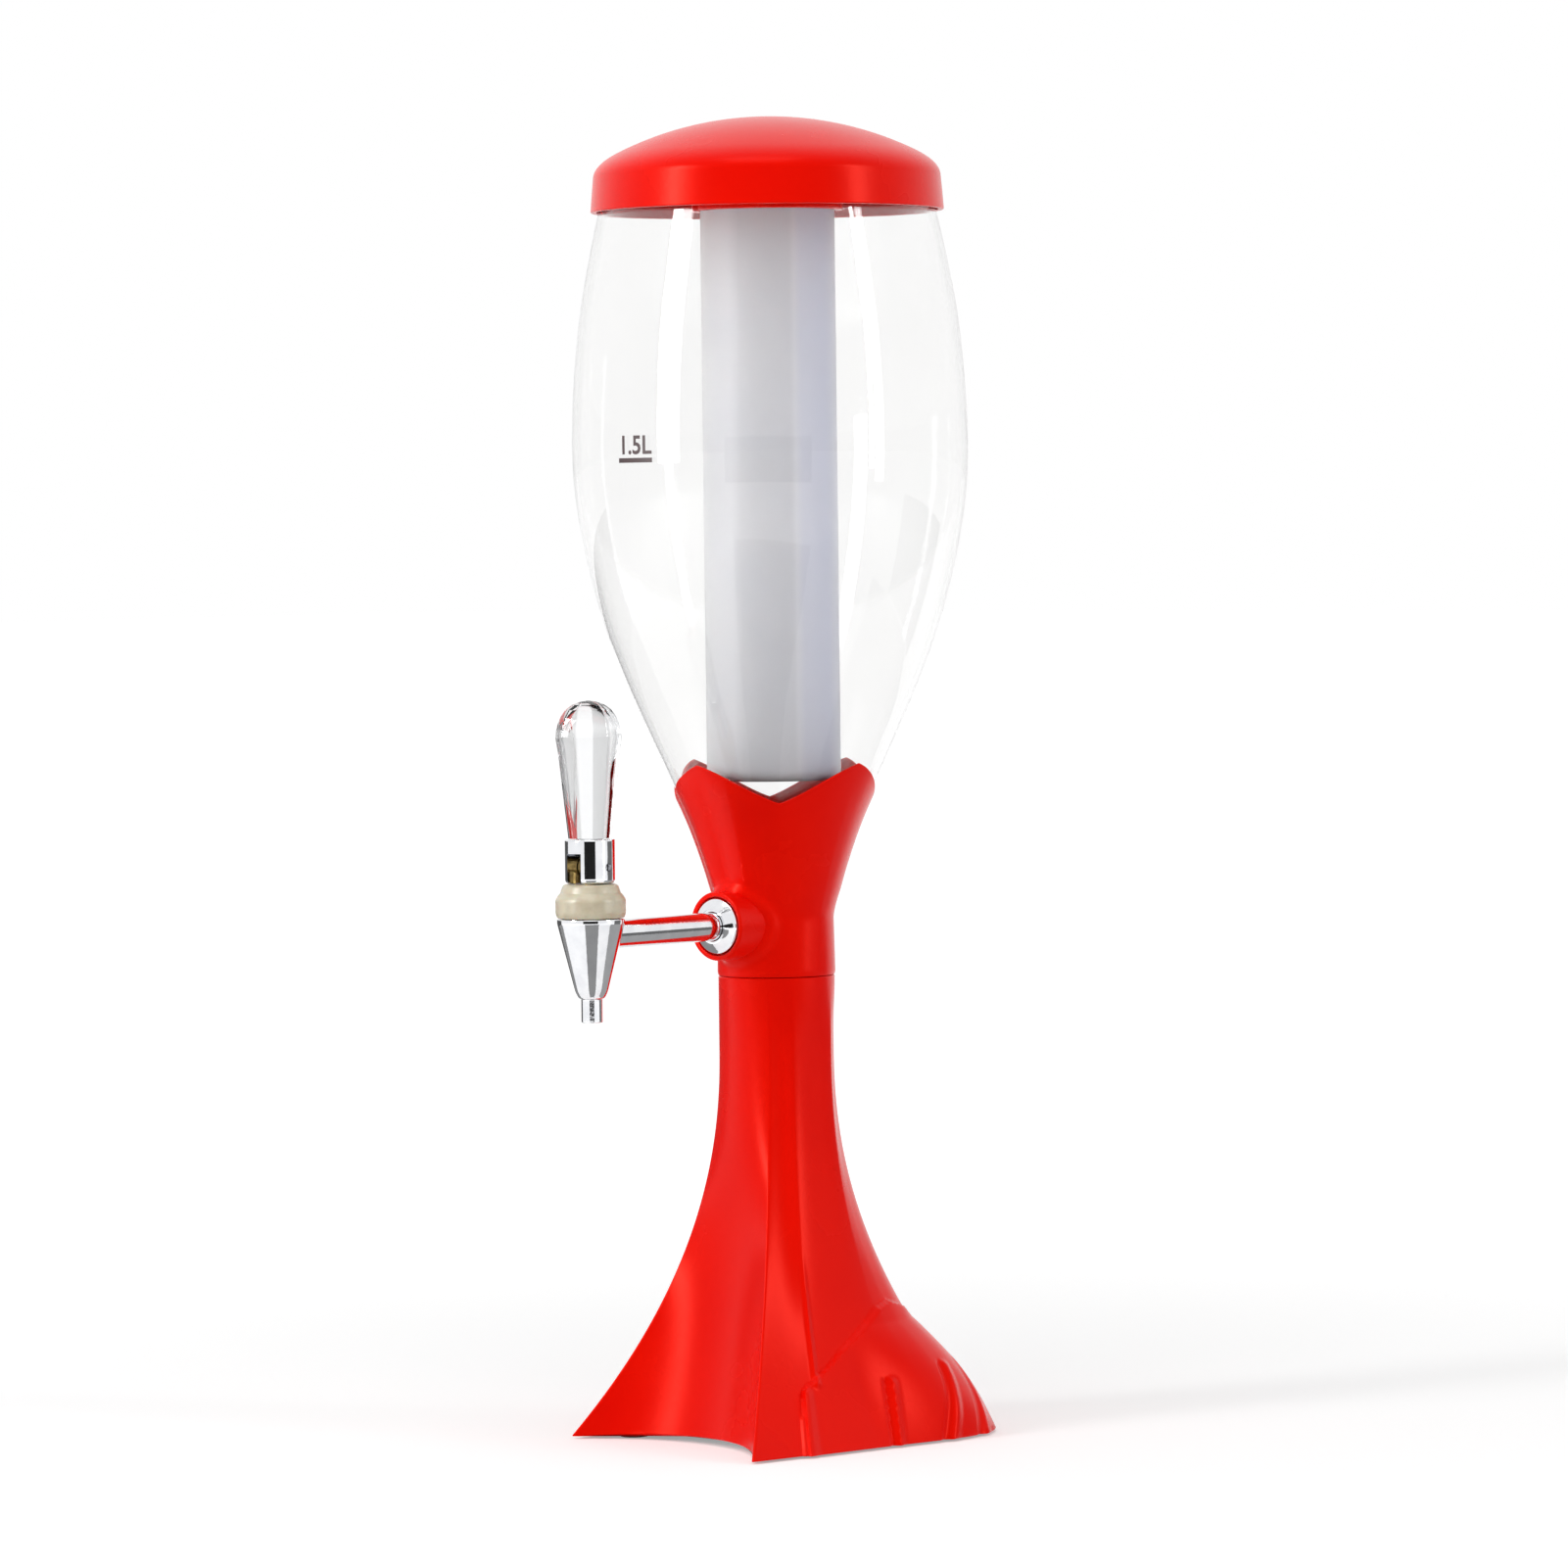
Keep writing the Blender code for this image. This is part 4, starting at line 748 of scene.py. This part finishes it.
# Filling mark: a short line with its volume over it, printed in dark ink on the tank's front.
# It is one thin layer that follows the glassy wall.
mark_height = 0.3795
mark_width = 0.0172
mark_line = 0.0018
mark_letters = 0.0098
mark_gap = 0.0016
mark_lift = 0.00012
ink = moulded("printing_ink", (0.050, 0.016, 0.018), (0.030, 0.012, 0.014), 0.45,
              mottle=900.0, grain=3000.0, depth=0.00001)
words = bpy.data.curves.new("mark_letters", "FONT")
words.body = "1.5L"
words.size = mark_letters
words.align_x = "CENTER"
words.resolution_u = 3
words.offset = 0.00022
letters = bpy.data.objects.new("mark_letters", words)
scene.collection.objects.link(letters)
bpy.context.view_layer.update()
flat_letters = bpy.data.meshes.new_from_object(letters.evaluated_get(bpy.context.evaluated_depsgraph_get()))
bpy.data.objects.remove(letters)
mark_shape = bmesh.new()
mark_shape.from_mesh(flat_letters)
bmesh.ops.translate(mark_shape, verts=mark_shape.verts, vec=(0.0, mark_line / 2 + mark_gap, 0.0))
line = bmesh.ops.create_grid(mark_shape, x_segments=16, y_segments=1, size=0.5)["verts"]
bmesh.ops.scale(mark_shape, verts=line, vec=(mark_width, mark_line, 1.0))
bmesh.ops.triangulate(mark_shape, faces=mark_shape.faces)
bmesh.ops.subdivide_edges(mark_shape, edges=[edge for edge in mark_shape.edges if edge.calc_length() > 0.002],
                          cuts=1, use_grid_fill=True)
for vert in mark_shape.verts:
    level = mark_height + vert.co.y
    reach = tank_reach(level) + mark_lift
    around = vert.co.x / reach
    vert.co = Vector((reach * math.sin(around), -reach * math.cos(around), level))
mark = finished("filling_mark", mark_shape, ink)
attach(mark, "tower")

# Port seal and nut: inside the tank's neck a saddle of soft silicone and a zinc nut clamp the
# shank through the wall. They sit low in the tank, behind the collar.
soft_silicone = moulded("soft_silicone", (0.72, 0.72, 0.70), (0.60, 0.60, 0.58), 0.50,
                        mottle=300.0, grain=1200.0, depth=0.00005)
refinished("tank_port_seal", soft_silicone)
refinished("shank_nut", bright_zinc)

# Shank and rosette: a chromed brass pipe runs from the tank's wall to the tap. A rubber washer
# and a domed rosette close the boss round it.
chrome = moulded("polished_chrome", (0.86, 0.87, 0.89), (0.78, 0.79, 0.82), 0.055,
                 mottle=160.0, grain=900.0, depth=0.000012, Metallic=1.0)
washer_rubber = moulded("washer_rubber", (0.020, 0.020, 0.020), (0.012, 0.012, 0.012), 0.60,
                        mottle=600.0, grain=2400.0, depth=0.0001)
shank_radius = 0.0055
shank_bore = 0.0026
shank_back = -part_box("tap_shank")[1].y
shank_front = -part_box("tap_shank")[0].y
shank = finished("chromed_shank", laid_forward(turned(rounded([
    (shank_radius, shank_back), (shank_radius, shank_front, 0.0004), (shank_bore, shank_front, 0.0003),
    (shank_bore, shank_back)]), steps=64, ring=True), tap_height), chrome)
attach(shank, "tower")
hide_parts("tap_shank")
refinished("shank_seal", washer_rubber)
rosette_radius = 0.0107
rosette_back = -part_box("shank_flange")[1].y
rosette_front = -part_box("shank_flange")[0].y
rosette_edge = 0.0011
rosette = finished("tap_rosette", laid_forward(turned(rounded([
    (shank_hole, rosette_back), (rosette_radius, rosette_back, 0.0003),
    (rosette_radius, rosette_back + rosette_edge, 0.0005),
    (rosette_radius * 0.90, rosette_back + rosette_edge * 1.5, 0.0008),
    (shank_hole + 0.0016, rosette_front - 0.0004, 0.0009),
    (shank_hole + 0.0011, rosette_front, 0.0003), (shank_hole, rosette_front)]), steps=96, ring=True),
    tap_height), chrome)
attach(rosette, "tower")
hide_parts("shank_flange")

# Tap body: a chromed casting, turned to a cone below a short upright rim, with the nozzle at its
# foot. The shank is soldered into its back.
body_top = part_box("tap_body")[1].z
nozzle_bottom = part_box("tap_body")[0].z
body_radius = 0.0128
body_toe = 0.0058
body_bottom = nozzle_bottom + 0.0089
nozzle_radius = 0.00405
nozzle_bore = 0.0024
chamber_radius = 0.0046
chamber_bottom = body_bottom + 0.0074
body_rim = 0.0018


def block(low, high):
    """A closed box between two corners."""
    shape = bmesh.new()
    bmesh.ops.create_cube(shape, size=1.0)
    low, high = Vector(low), Vector(high)
    bmesh.ops.scale(shape, verts=shape.verts, vec=high - low)
    bmesh.ops.translate(shape, verts=shape.verts, vec=(low + high) / 2)
    return shape


def at_tap(shape, height=0.0):
    """Move a piece that was made on the tower's axis out to the tap."""
    bmesh.ops.translate(shape, verts=shape.verts, vec=(0.0, -tap_reach, height))
    return shape


tap_body = finished("tap_cone", at_tap(turned(rounded([
    (body_radius, body_top, 0.0004), (body_radius, body_top - body_rim, 0.0004),
    (body_toe + 0.0003, body_bottom + 0.0022, 0.0016),
    (body_toe - 0.0010, body_bottom, 0.0008), (nozzle_radius, body_bottom, 0.0003),
    (nozzle_radius, nozzle_bottom, 0.0004), (nozzle_bore, nozzle_bottom, 0.0002),
    (nozzle_bore, chamber_bottom - 0.0022), (chamber_radius, chamber_bottom), (chamber_radius, body_top)]),
    steps=96, ring=True)), chrome)
socket = finished("shank_socket", laid_forward(turned([
    (0.0, shank_back), (shank_hole, shank_back), (shank_hole, shank_front + 0.0003),
    (0.0, shank_front + 0.0003)], steps=64), tap_height), chrome)
combined(tap_body, [("DIFFERENCE", socket)])
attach(tap_body, "tower")
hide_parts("tap_body")

# Bonnet: an ivory nylon ring with a raised band, over a rubber seal, that screws down onto the
# body and guides the stem.
refinished("bonnet_seal", washer_rubber)
bonnet_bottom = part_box("bonnet_ring")[1].z - 0.0127
bonnet_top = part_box("bonnet_ring")[1].z
bonnet_radius = 0.0133
stem_hole = 0.0025
ivory = moulded("ivory_nylon", (0.62, 0.56, 0.42), (0.52, 0.45, 0.32), 0.34, mottle=170.0, grain=1100.0,
                depth=0.00006, Subsurface_Weight=0.25, Subsurface_Scale=0.003)
bonnet = finished("bonnet", at_tap(turned(rounded([
    (bonnet_radius * 0.955, bonnet_bottom, 0.0004), (bonnet_radius * 0.985, bonnet_bottom + 0.0012, 0.0003),
    (bonnet_radius, bonnet_bottom + 0.0020, 0.0004), (bonnet_radius, bonnet_bottom + 0.0070, 0.0008),
    (bonnet_radius * 0.91, bonnet_bottom + 0.0088, 0.0006),
    (bonnet_radius * 0.86, bonnet_bottom + 0.0094, 0.0003), (bonnet_radius * 0.78, bonnet_top, 0.0012),
    (stem_hole, bonnet_top, 0.0003), (stem_hole, bonnet_bottom - 0.0038),
    (chamber_radius - 0.0003, bonnet_bottom - 0.0038), (chamber_radius - 0.0003, bonnet_bottom + 0.0012),
    (0.0115, bonnet_bottom + 0.0012), (0.0115, bonnet_bottom)]), steps=96, ring=True)), ivory)
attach(bonnet, "tower")
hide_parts("bonnet_ring")

# Stem and plug: the turned brass stem hangs from the lever's pin and lifts a rubber plug off
# its seat in the body.
dull_brass = moulded("dull_brass", (0.36, 0.25, 0.085), (0.20, 0.13, 0.045), 0.30,
                     mottle=420.0, grain=1600.0, depth=0.00006, Metallic=1.0)
refinished("valve_stem", dull_brass)
refinished("seat_plug", washer_rubber)

# Lever: a chromed ferrule with a window for the stem's head, a steel pin across it, and a
# faceted knob of clear acrylic screwed into its top.
refinished("lever_pin", bright_zinc)
pivot_height = 0.2265
ferrule_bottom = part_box("handle_ferrule")[0].z
ferrule_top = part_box("handle_ferrule")[1].z
ferrule_radius = 0.0095
window_width = 0.0070
window_height = 0.0114
window_back = 0.0040
pin_radius = 0.0012
knob_socket = 0.0052
knob_socket_depth = 0.0038
ferrule = finished("lever_ferrule", at_tap(turned(rounded([
    (0.0, ferrule_bottom), (ferrule_radius, ferrule_bottom, 0.0015),
    (ferrule_radius, ferrule_top, 0.0006), (knob_socket, ferrule_top, 0.0002),
    (knob_socket, ferrule_top - knob_socket_depth), (0.0, ferrule_top - knob_socket_depth)]),
    steps=96)), chrome)
window = finished("stem_window", block(
    (-window_width / 2, -tap_reach - ferrule_radius - 0.002, ferrule_bottom - 0.002),
    (window_width / 2, -tap_reach + window_back, ferrule_bottom + window_height)), chrome)
pin_hole_shape = turned([(0.0, -0.012), (pin_radius + 0.0003, -0.012), (pin_radius + 0.0003, 0.012),
                         (0.0, 0.012)], steps=32)
bmesh.ops.rotate(pin_hole_shape, verts=pin_hole_shape.verts, matrix=Matrix.Rotation(math.radians(90), 3, "Y"))
pin_hole = finished("pin_hole", at_tap(pin_hole_shape, pivot_height), chrome)
combined(ferrule, [("DIFFERENCE", window), ("DIFFERENCE", pin_hole)])
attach(ferrule, "lever")
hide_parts("handle_ferrule")

knob_bottom = ferrule_top + 0.0003
knob_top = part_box("handle_knob")[1].z
knob_half_width = 0.0127
knob_turn = math.radians(20)
knob_profile_shares = ((0.65, 0.0), (0.66, 0.02), (0.81, 0.36), (0.92, 0.61), (1.0, 0.73), (0.98, 0.78),
                       (0.93, 0.83), (0.84, 0.885), (0.70, 0.935), (0.50, 0.972), (0.26, 0.994), (0.05, 1.0))
knob_corners = (-31, 31, 59, 121, 149, 211, 239, 301)
facet_round = 0.0005
acrylic = moulded("clear_acrylic", (0.985, 0.988, 0.992), (0.96, 0.97, 0.98), 0.012,
                  mottle=60.0, grain=200.0, depth=0.00002, Transmission_Weight=1.0, IOR=1.49)
# Painted shade: the narrow facets are painted dark and the side facets a little darker than the front and
# back ones. By turn round the knob as a share of a full one, and the tone there
knob_painted_shade_shares = ((0.0, 1.0), (0.085, 1.0), (0.09, 0.55), (0.16, 0.50), (0.17, 0.80), (0.33, 0.80),
                    (0.34, 0.55), (0.41, 0.55), (0.42, 1.0), (0.58, 1.0), (0.59, 0.55), (0.66, 0.55),
                    (0.67, 0.80), (0.83, 0.80), (0.84, 0.50), (0.91, 0.55), (0.915, 1.0), (1.0, 1.0))


def banded(finish, start_turn, forward, bands):
    """Paint light and shade into a finish in upright bands: tones or colours by the share of a turn round an
    axis.
    """
    nodes = finish.node_tree.nodes
    links = finish.node_tree.links
    colour = nodes["Principled BSDF"].inputs["Base Color"]
    plain = colour.links[0].from_socket
    place = nodes.new("ShaderNodeTexCoord")
    moved = nodes.new("ShaderNodeVectorMath")
    moved.operation = "ADD"
    moved.inputs[1].default_value = (0.0, forward, 0.0)
    spun = nodes.new("ShaderNodeVectorRotate")
    spun.rotation_type = "Z_AXIS"
    spun.inputs["Angle"].default_value = -start_turn
    apart = nodes.new("ShaderNodeSeparateXYZ")
    ahead = nodes.new("ShaderNodeMath")
    ahead.operation = "MULTIPLY"
    ahead.inputs[1].default_value = -1.0
    turn = nodes.new("ShaderNodeMath")
    turn.operation = "ARCTAN2"
    share = nodes.new("ShaderNodeMapRange")
    share.inputs["From Min"].default_value = -math.pi
    share.inputs["From Max"].default_value = math.pi
    ramp = nodes.new("ShaderNodeValToRGB")
    stops = ramp.color_ramp.elements
    for index, (at, tone) in enumerate(bands):
        stop = stops[index] if index < 2 else stops.new(at)
        stop.position = at
        stop.color = (*tone, 1.0) if isinstance(tone, tuple) else (tone, tone, tone, 1.0)
    shaded = nodes.new("ShaderNodeVectorMath")
    shaded.operation = "MULTIPLY"
    links.new(place.outputs["Object"], moved.inputs[0])
    links.new(moved.outputs["Vector"], spun.inputs["Vector"])
    links.new(spun.outputs["Vector"], apart.inputs["Vector"])
    links.new(apart.outputs["Y"], ahead.inputs[0])
    links.new(apart.outputs["X"], turn.inputs[0])
    links.new(ahead.outputs[0], turn.inputs[1])
    links.new(turn.outputs[0], share.inputs["Value"])
    links.new(share.outputs["Result"], ramp.inputs["Fac"])
    links.new(plain, shaded.inputs[0])
    links.new(ramp.outputs["Color"], shaded.inputs[1])
    links.new(shaded.outputs["Vector"], colour)


# Paint the facets' shade into the clear acrylic's colour
banded(acrylic, knob_turn - math.pi, tap_reach, knob_painted_shade_shares)
knob_foot = knob_socket - 0.0003
knob_line = [(knob_foot, ferrule_top - knob_socket_depth + 0.0003), (knob_foot, knob_bottom)]
knob_line += [(share * knob_half_width, knob_bottom + rise * (knob_top - knob_bottom))
              for share, rise in knob_profile_shares]
knob_rings = [[Vector((radius * math.sin(math.radians(corner) + knob_turn),
                       -radius * math.cos(math.radians(corner) + knob_turn) - tap_reach, level))
               for corner in knob_corners] for radius, level in knob_line]
knob_shape = drawn_through(knob_rings)
bmesh.ops.holes_fill(knob_shape, edges=[edge for edge in knob_shape.edges if edge.is_boundary], sides=8)
bmesh.ops.recalc_face_normals(knob_shape, faces=knob_shape.faces)
upright = [edge for edge in knob_shape.edges
           if abs(edge.verts[0].co.z - edge.verts[1].co.z) > 0.00001
           and min(edge.verts[0].co.z, edge.verts[1].co.z) > knob_bottom - 0.0001]
bmesh.ops.bevel(knob_shape, geom=upright, offset=facet_round, affect="EDGES", segments=2,
                profile=0.5, material=-1)
knob = finished("crystal_knob", knob_shape, acrylic, crease=16)
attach(knob, "lever")
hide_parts("handle_knob")

# Lid: a domed cap in the same gloss red whose skirt drops round the tank's mouth. Under it a
# socket with two bayonet slots holds the ice tube against a soft ring.
lid_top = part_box("lid")[1].z
lid_dome = 0.130
lid_wall = 0.0022
lid_ledge = tank_top + 0.0003
lid_bottom = lid_ledge - 0.0078
lid_radius = (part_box("lid")[1].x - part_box("lid")[0].x) / 2
lid_draft = 0.0011
shoulder_height = lid_ledge + 0.0052
shoulder_round = 0.0097
ledge_width = 0.0032
socket_outside = 0.0293
socket_bore = 0.0263
socket_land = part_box("tube_seal")[1].z + 0.0003
socket_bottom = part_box("lid")[0].z
tube_radius = 0.026
tube_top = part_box("ice_tube")[1].z
lug_drop = 0.017
lug_width = 0.006
lug_height = 0.003
lug_gap = 0.0003
lug_turn = math.radians(60)


def dome(radius, drop=0.0):
    """Height of the lid's dome, or of its underside, at a radius."""
    return lid_top - lid_dome + math.sqrt((lid_dome - drop) ** 2 - radius ** 2)


dome_edge = lid_radius - lid_draft - shoulder_round
skirt_bore = lid_radius - lid_wall
land_edge = tube_radius - 0.0029
shoulder_radius = lid_radius - lid_draft
dome_slope = dome_edge / math.sqrt(lid_dome ** 2 - dome_edge ** 2)
shoulder_start = Vector((dome_edge, dome(dome_edge)))
shoulder_corner = Vector((shoulder_radius, dome(dome_edge) - (shoulder_radius - dome_edge) * dome_slope))
shoulder_end = Vector((shoulder_radius, shoulder_height))
lid_line = [(dome_edge * step / 20, dome(dome_edge * step / 20)) for step in range(21)]
lid_line += [tuple(bent(shoulder_start, shoulder_corner, shoulder_end, step / 12)) for step in range(1, 13)]
under_edge = dome_edge - lid_wall
under_line = [(under_edge + (socket_outside - under_edge) * step / 8) for step in range(9)]
lid_line += rounded([
    (lid_radius - lid_draft / 2, shoulder_height - 0.006), (lid_radius, lid_bottom, 0.0006),
    (skirt_bore, lid_bottom, 0.0004), (skirt_bore, lid_ledge), (skirt_bore - ledge_width, lid_ledge, 0.0003),
    (skirt_bore - ledge_width, shoulder_height)])
lid_line += [(radius, dome(radius, lid_wall)) for radius in under_line]
lid_line += rounded([
    (socket_outside, socket_bottom + 0.001), (socket_outside, socket_bottom, 0.0005),
    (socket_bore, socket_bottom, 0.0005), (socket_bore, socket_land), (land_edge, socket_land, 0.0003),
    (land_edge, dome(land_edge, lid_wall))])
lid_line += [(land_edge * (1 - step / 6), dome(land_edge * (1 - step / 6), lid_wall)) for step in range(1, 7)]
lid = finished("domed_lid", turned(lid_line, steps=144), gloss_red)


def sector(name, low, high, start, end):
    """A cutter through the socket's wall, spun between two turns from +X."""
    shape = bmesh.new()
    bmesh.ops.create_grid(shape, x_segments=1, y_segments=1, size=0.5)
    bmesh.ops.scale(shape, verts=shape.verts, vec=(socket_outside - socket_bore + 0.003, high - low, 1.0))
    bmesh.ops.rotate(shape, verts=shape.verts, matrix=Matrix.Rotation(math.radians(90), 3, "X"))
    bmesh.ops.translate(shape, verts=shape.verts,
                        vec=((socket_outside + socket_bore) / 2, 0.0, (low + high) / 2))
    bmesh.ops.rotate(shape, verts=shape.verts, matrix=Matrix.Rotation(start, 3, "Z"))
    bmesh.ops.spin(shape, geom=shape.verts[:] + shape.edges[:] + shape.faces[:], axis=(0.0, 0.0, 1.0),
                   cent=(0.0, 0.0, 0.0), angle=end - start,
                   steps=max(3, round(math.degrees(end - start) / 4)))
    bmesh.ops.recalc_face_normals(shape, faces=shape.faces)
    return finished(name, shape, gloss_red)


lug_level = tube_top - lug_drop
half_lug = math.asin((lug_width / 2 + lug_gap) / socket_bore)
slots = []
for side in range(2):
    start = math.pi * side
    slots.append(sector("slot_%d" % side, lug_level - lug_height / 2 - lug_gap,
                        lug_level + lug_height / 2 + lug_gap, start - half_lug, start + lug_turn + half_lug))
    slots.append(sector("entry_%d" % side, socket_bottom - 0.002, lug_level + lug_height / 2 + lug_gap,
                        start + lug_turn - half_lug, start + lug_turn + half_lug))
combined(lid, [("DIFFERENCE", slot) for slot in slots])
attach(lid, "lid")
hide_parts("lid")
refinished("tube_seal", soft_silicone)

# Ice tube: a frosted, slightly milky tube closed at its foot. Two lugs on its rim turn into the
# lid's socket, and ice in it keeps the beer cold.
tube_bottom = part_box("ice_tube")[0].z
tube_wall = 0.0018
tube_round = 0.004
lug_reach = 0.0022
frosted = moulded("frosted_plastic", (0.985, 0.985, 0.99), (0.95, 0.955, 0.97), 0.36,
                  mottle=34.0, grain=520.0, depth=0.00006, Transmission_Weight=0.45, IOR=1.46)
# Painted light and shade, by the share of a turn counted from the back: lighter on the left where the lamp
# falls, a darker painted band down the front with a thin painted highlight at its right edge, and a bluish
# painted reflection on the right side
tube_painted_light_shares = ((0.0, (0.90, 0.90, 0.95)), (0.25, (1.0, 1.0, 1.0)), (0.33, (0.97, 0.97, 0.98)),
                    (0.40, (0.94, 0.94, 0.96)), (0.43, (0.82, 0.82, 0.84)), (0.55, (0.82, 0.82, 0.85)),
                    (0.562, (0.90, 0.90, 0.94)), (0.58, (0.82, 0.83, 0.92)), (0.65, (0.80, 0.82, 0.94)),
                    (0.72, (0.88, 0.89, 0.97)), (1.0, (0.90, 0.90, 0.95)))
# Paint the tube's light and shade into the frosted colour
banded(frosted, view_turn, 0.0, tube_painted_light_shares)
tube = finished("ice_tube_frosted", turned(rounded([
    (0.0, tube_bottom), (tube_radius, tube_bottom, tube_round), (tube_radius, tube_top, 0.0004),
    (tube_radius - tube_wall, tube_top, 0.0004),
    (tube_radius - tube_wall, tube_bottom + tube_wall, tube_round * 0.6),
    (0.0, tube_bottom + tube_wall)], steps=6), steps=128), frosted)
lugs = []
for side in range(2):
    lug_shape = block((tube_radius - tube_wall / 2, -lug_width / 2, lug_level - lug_height / 2),
                      (tube_radius + lug_reach, lug_width / 2, lug_level + lug_height / 2))
    bmesh.ops.bevel(lug_shape, geom=lug_shape.edges[:], offset=0.0004, affect="EDGES", segments=2,
                    profile=0.5, material=-1)
    bmesh.ops.rotate(lug_shape, verts=lug_shape.verts, matrix=Matrix.Rotation(math.pi * side, 3, "Z"))
    lugs.append(("UNION", finished("lug_%d" % side, lug_shape, frosted)))
combined(tube, lugs)
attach(tube, "ice_tube")
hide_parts("ice_tube")
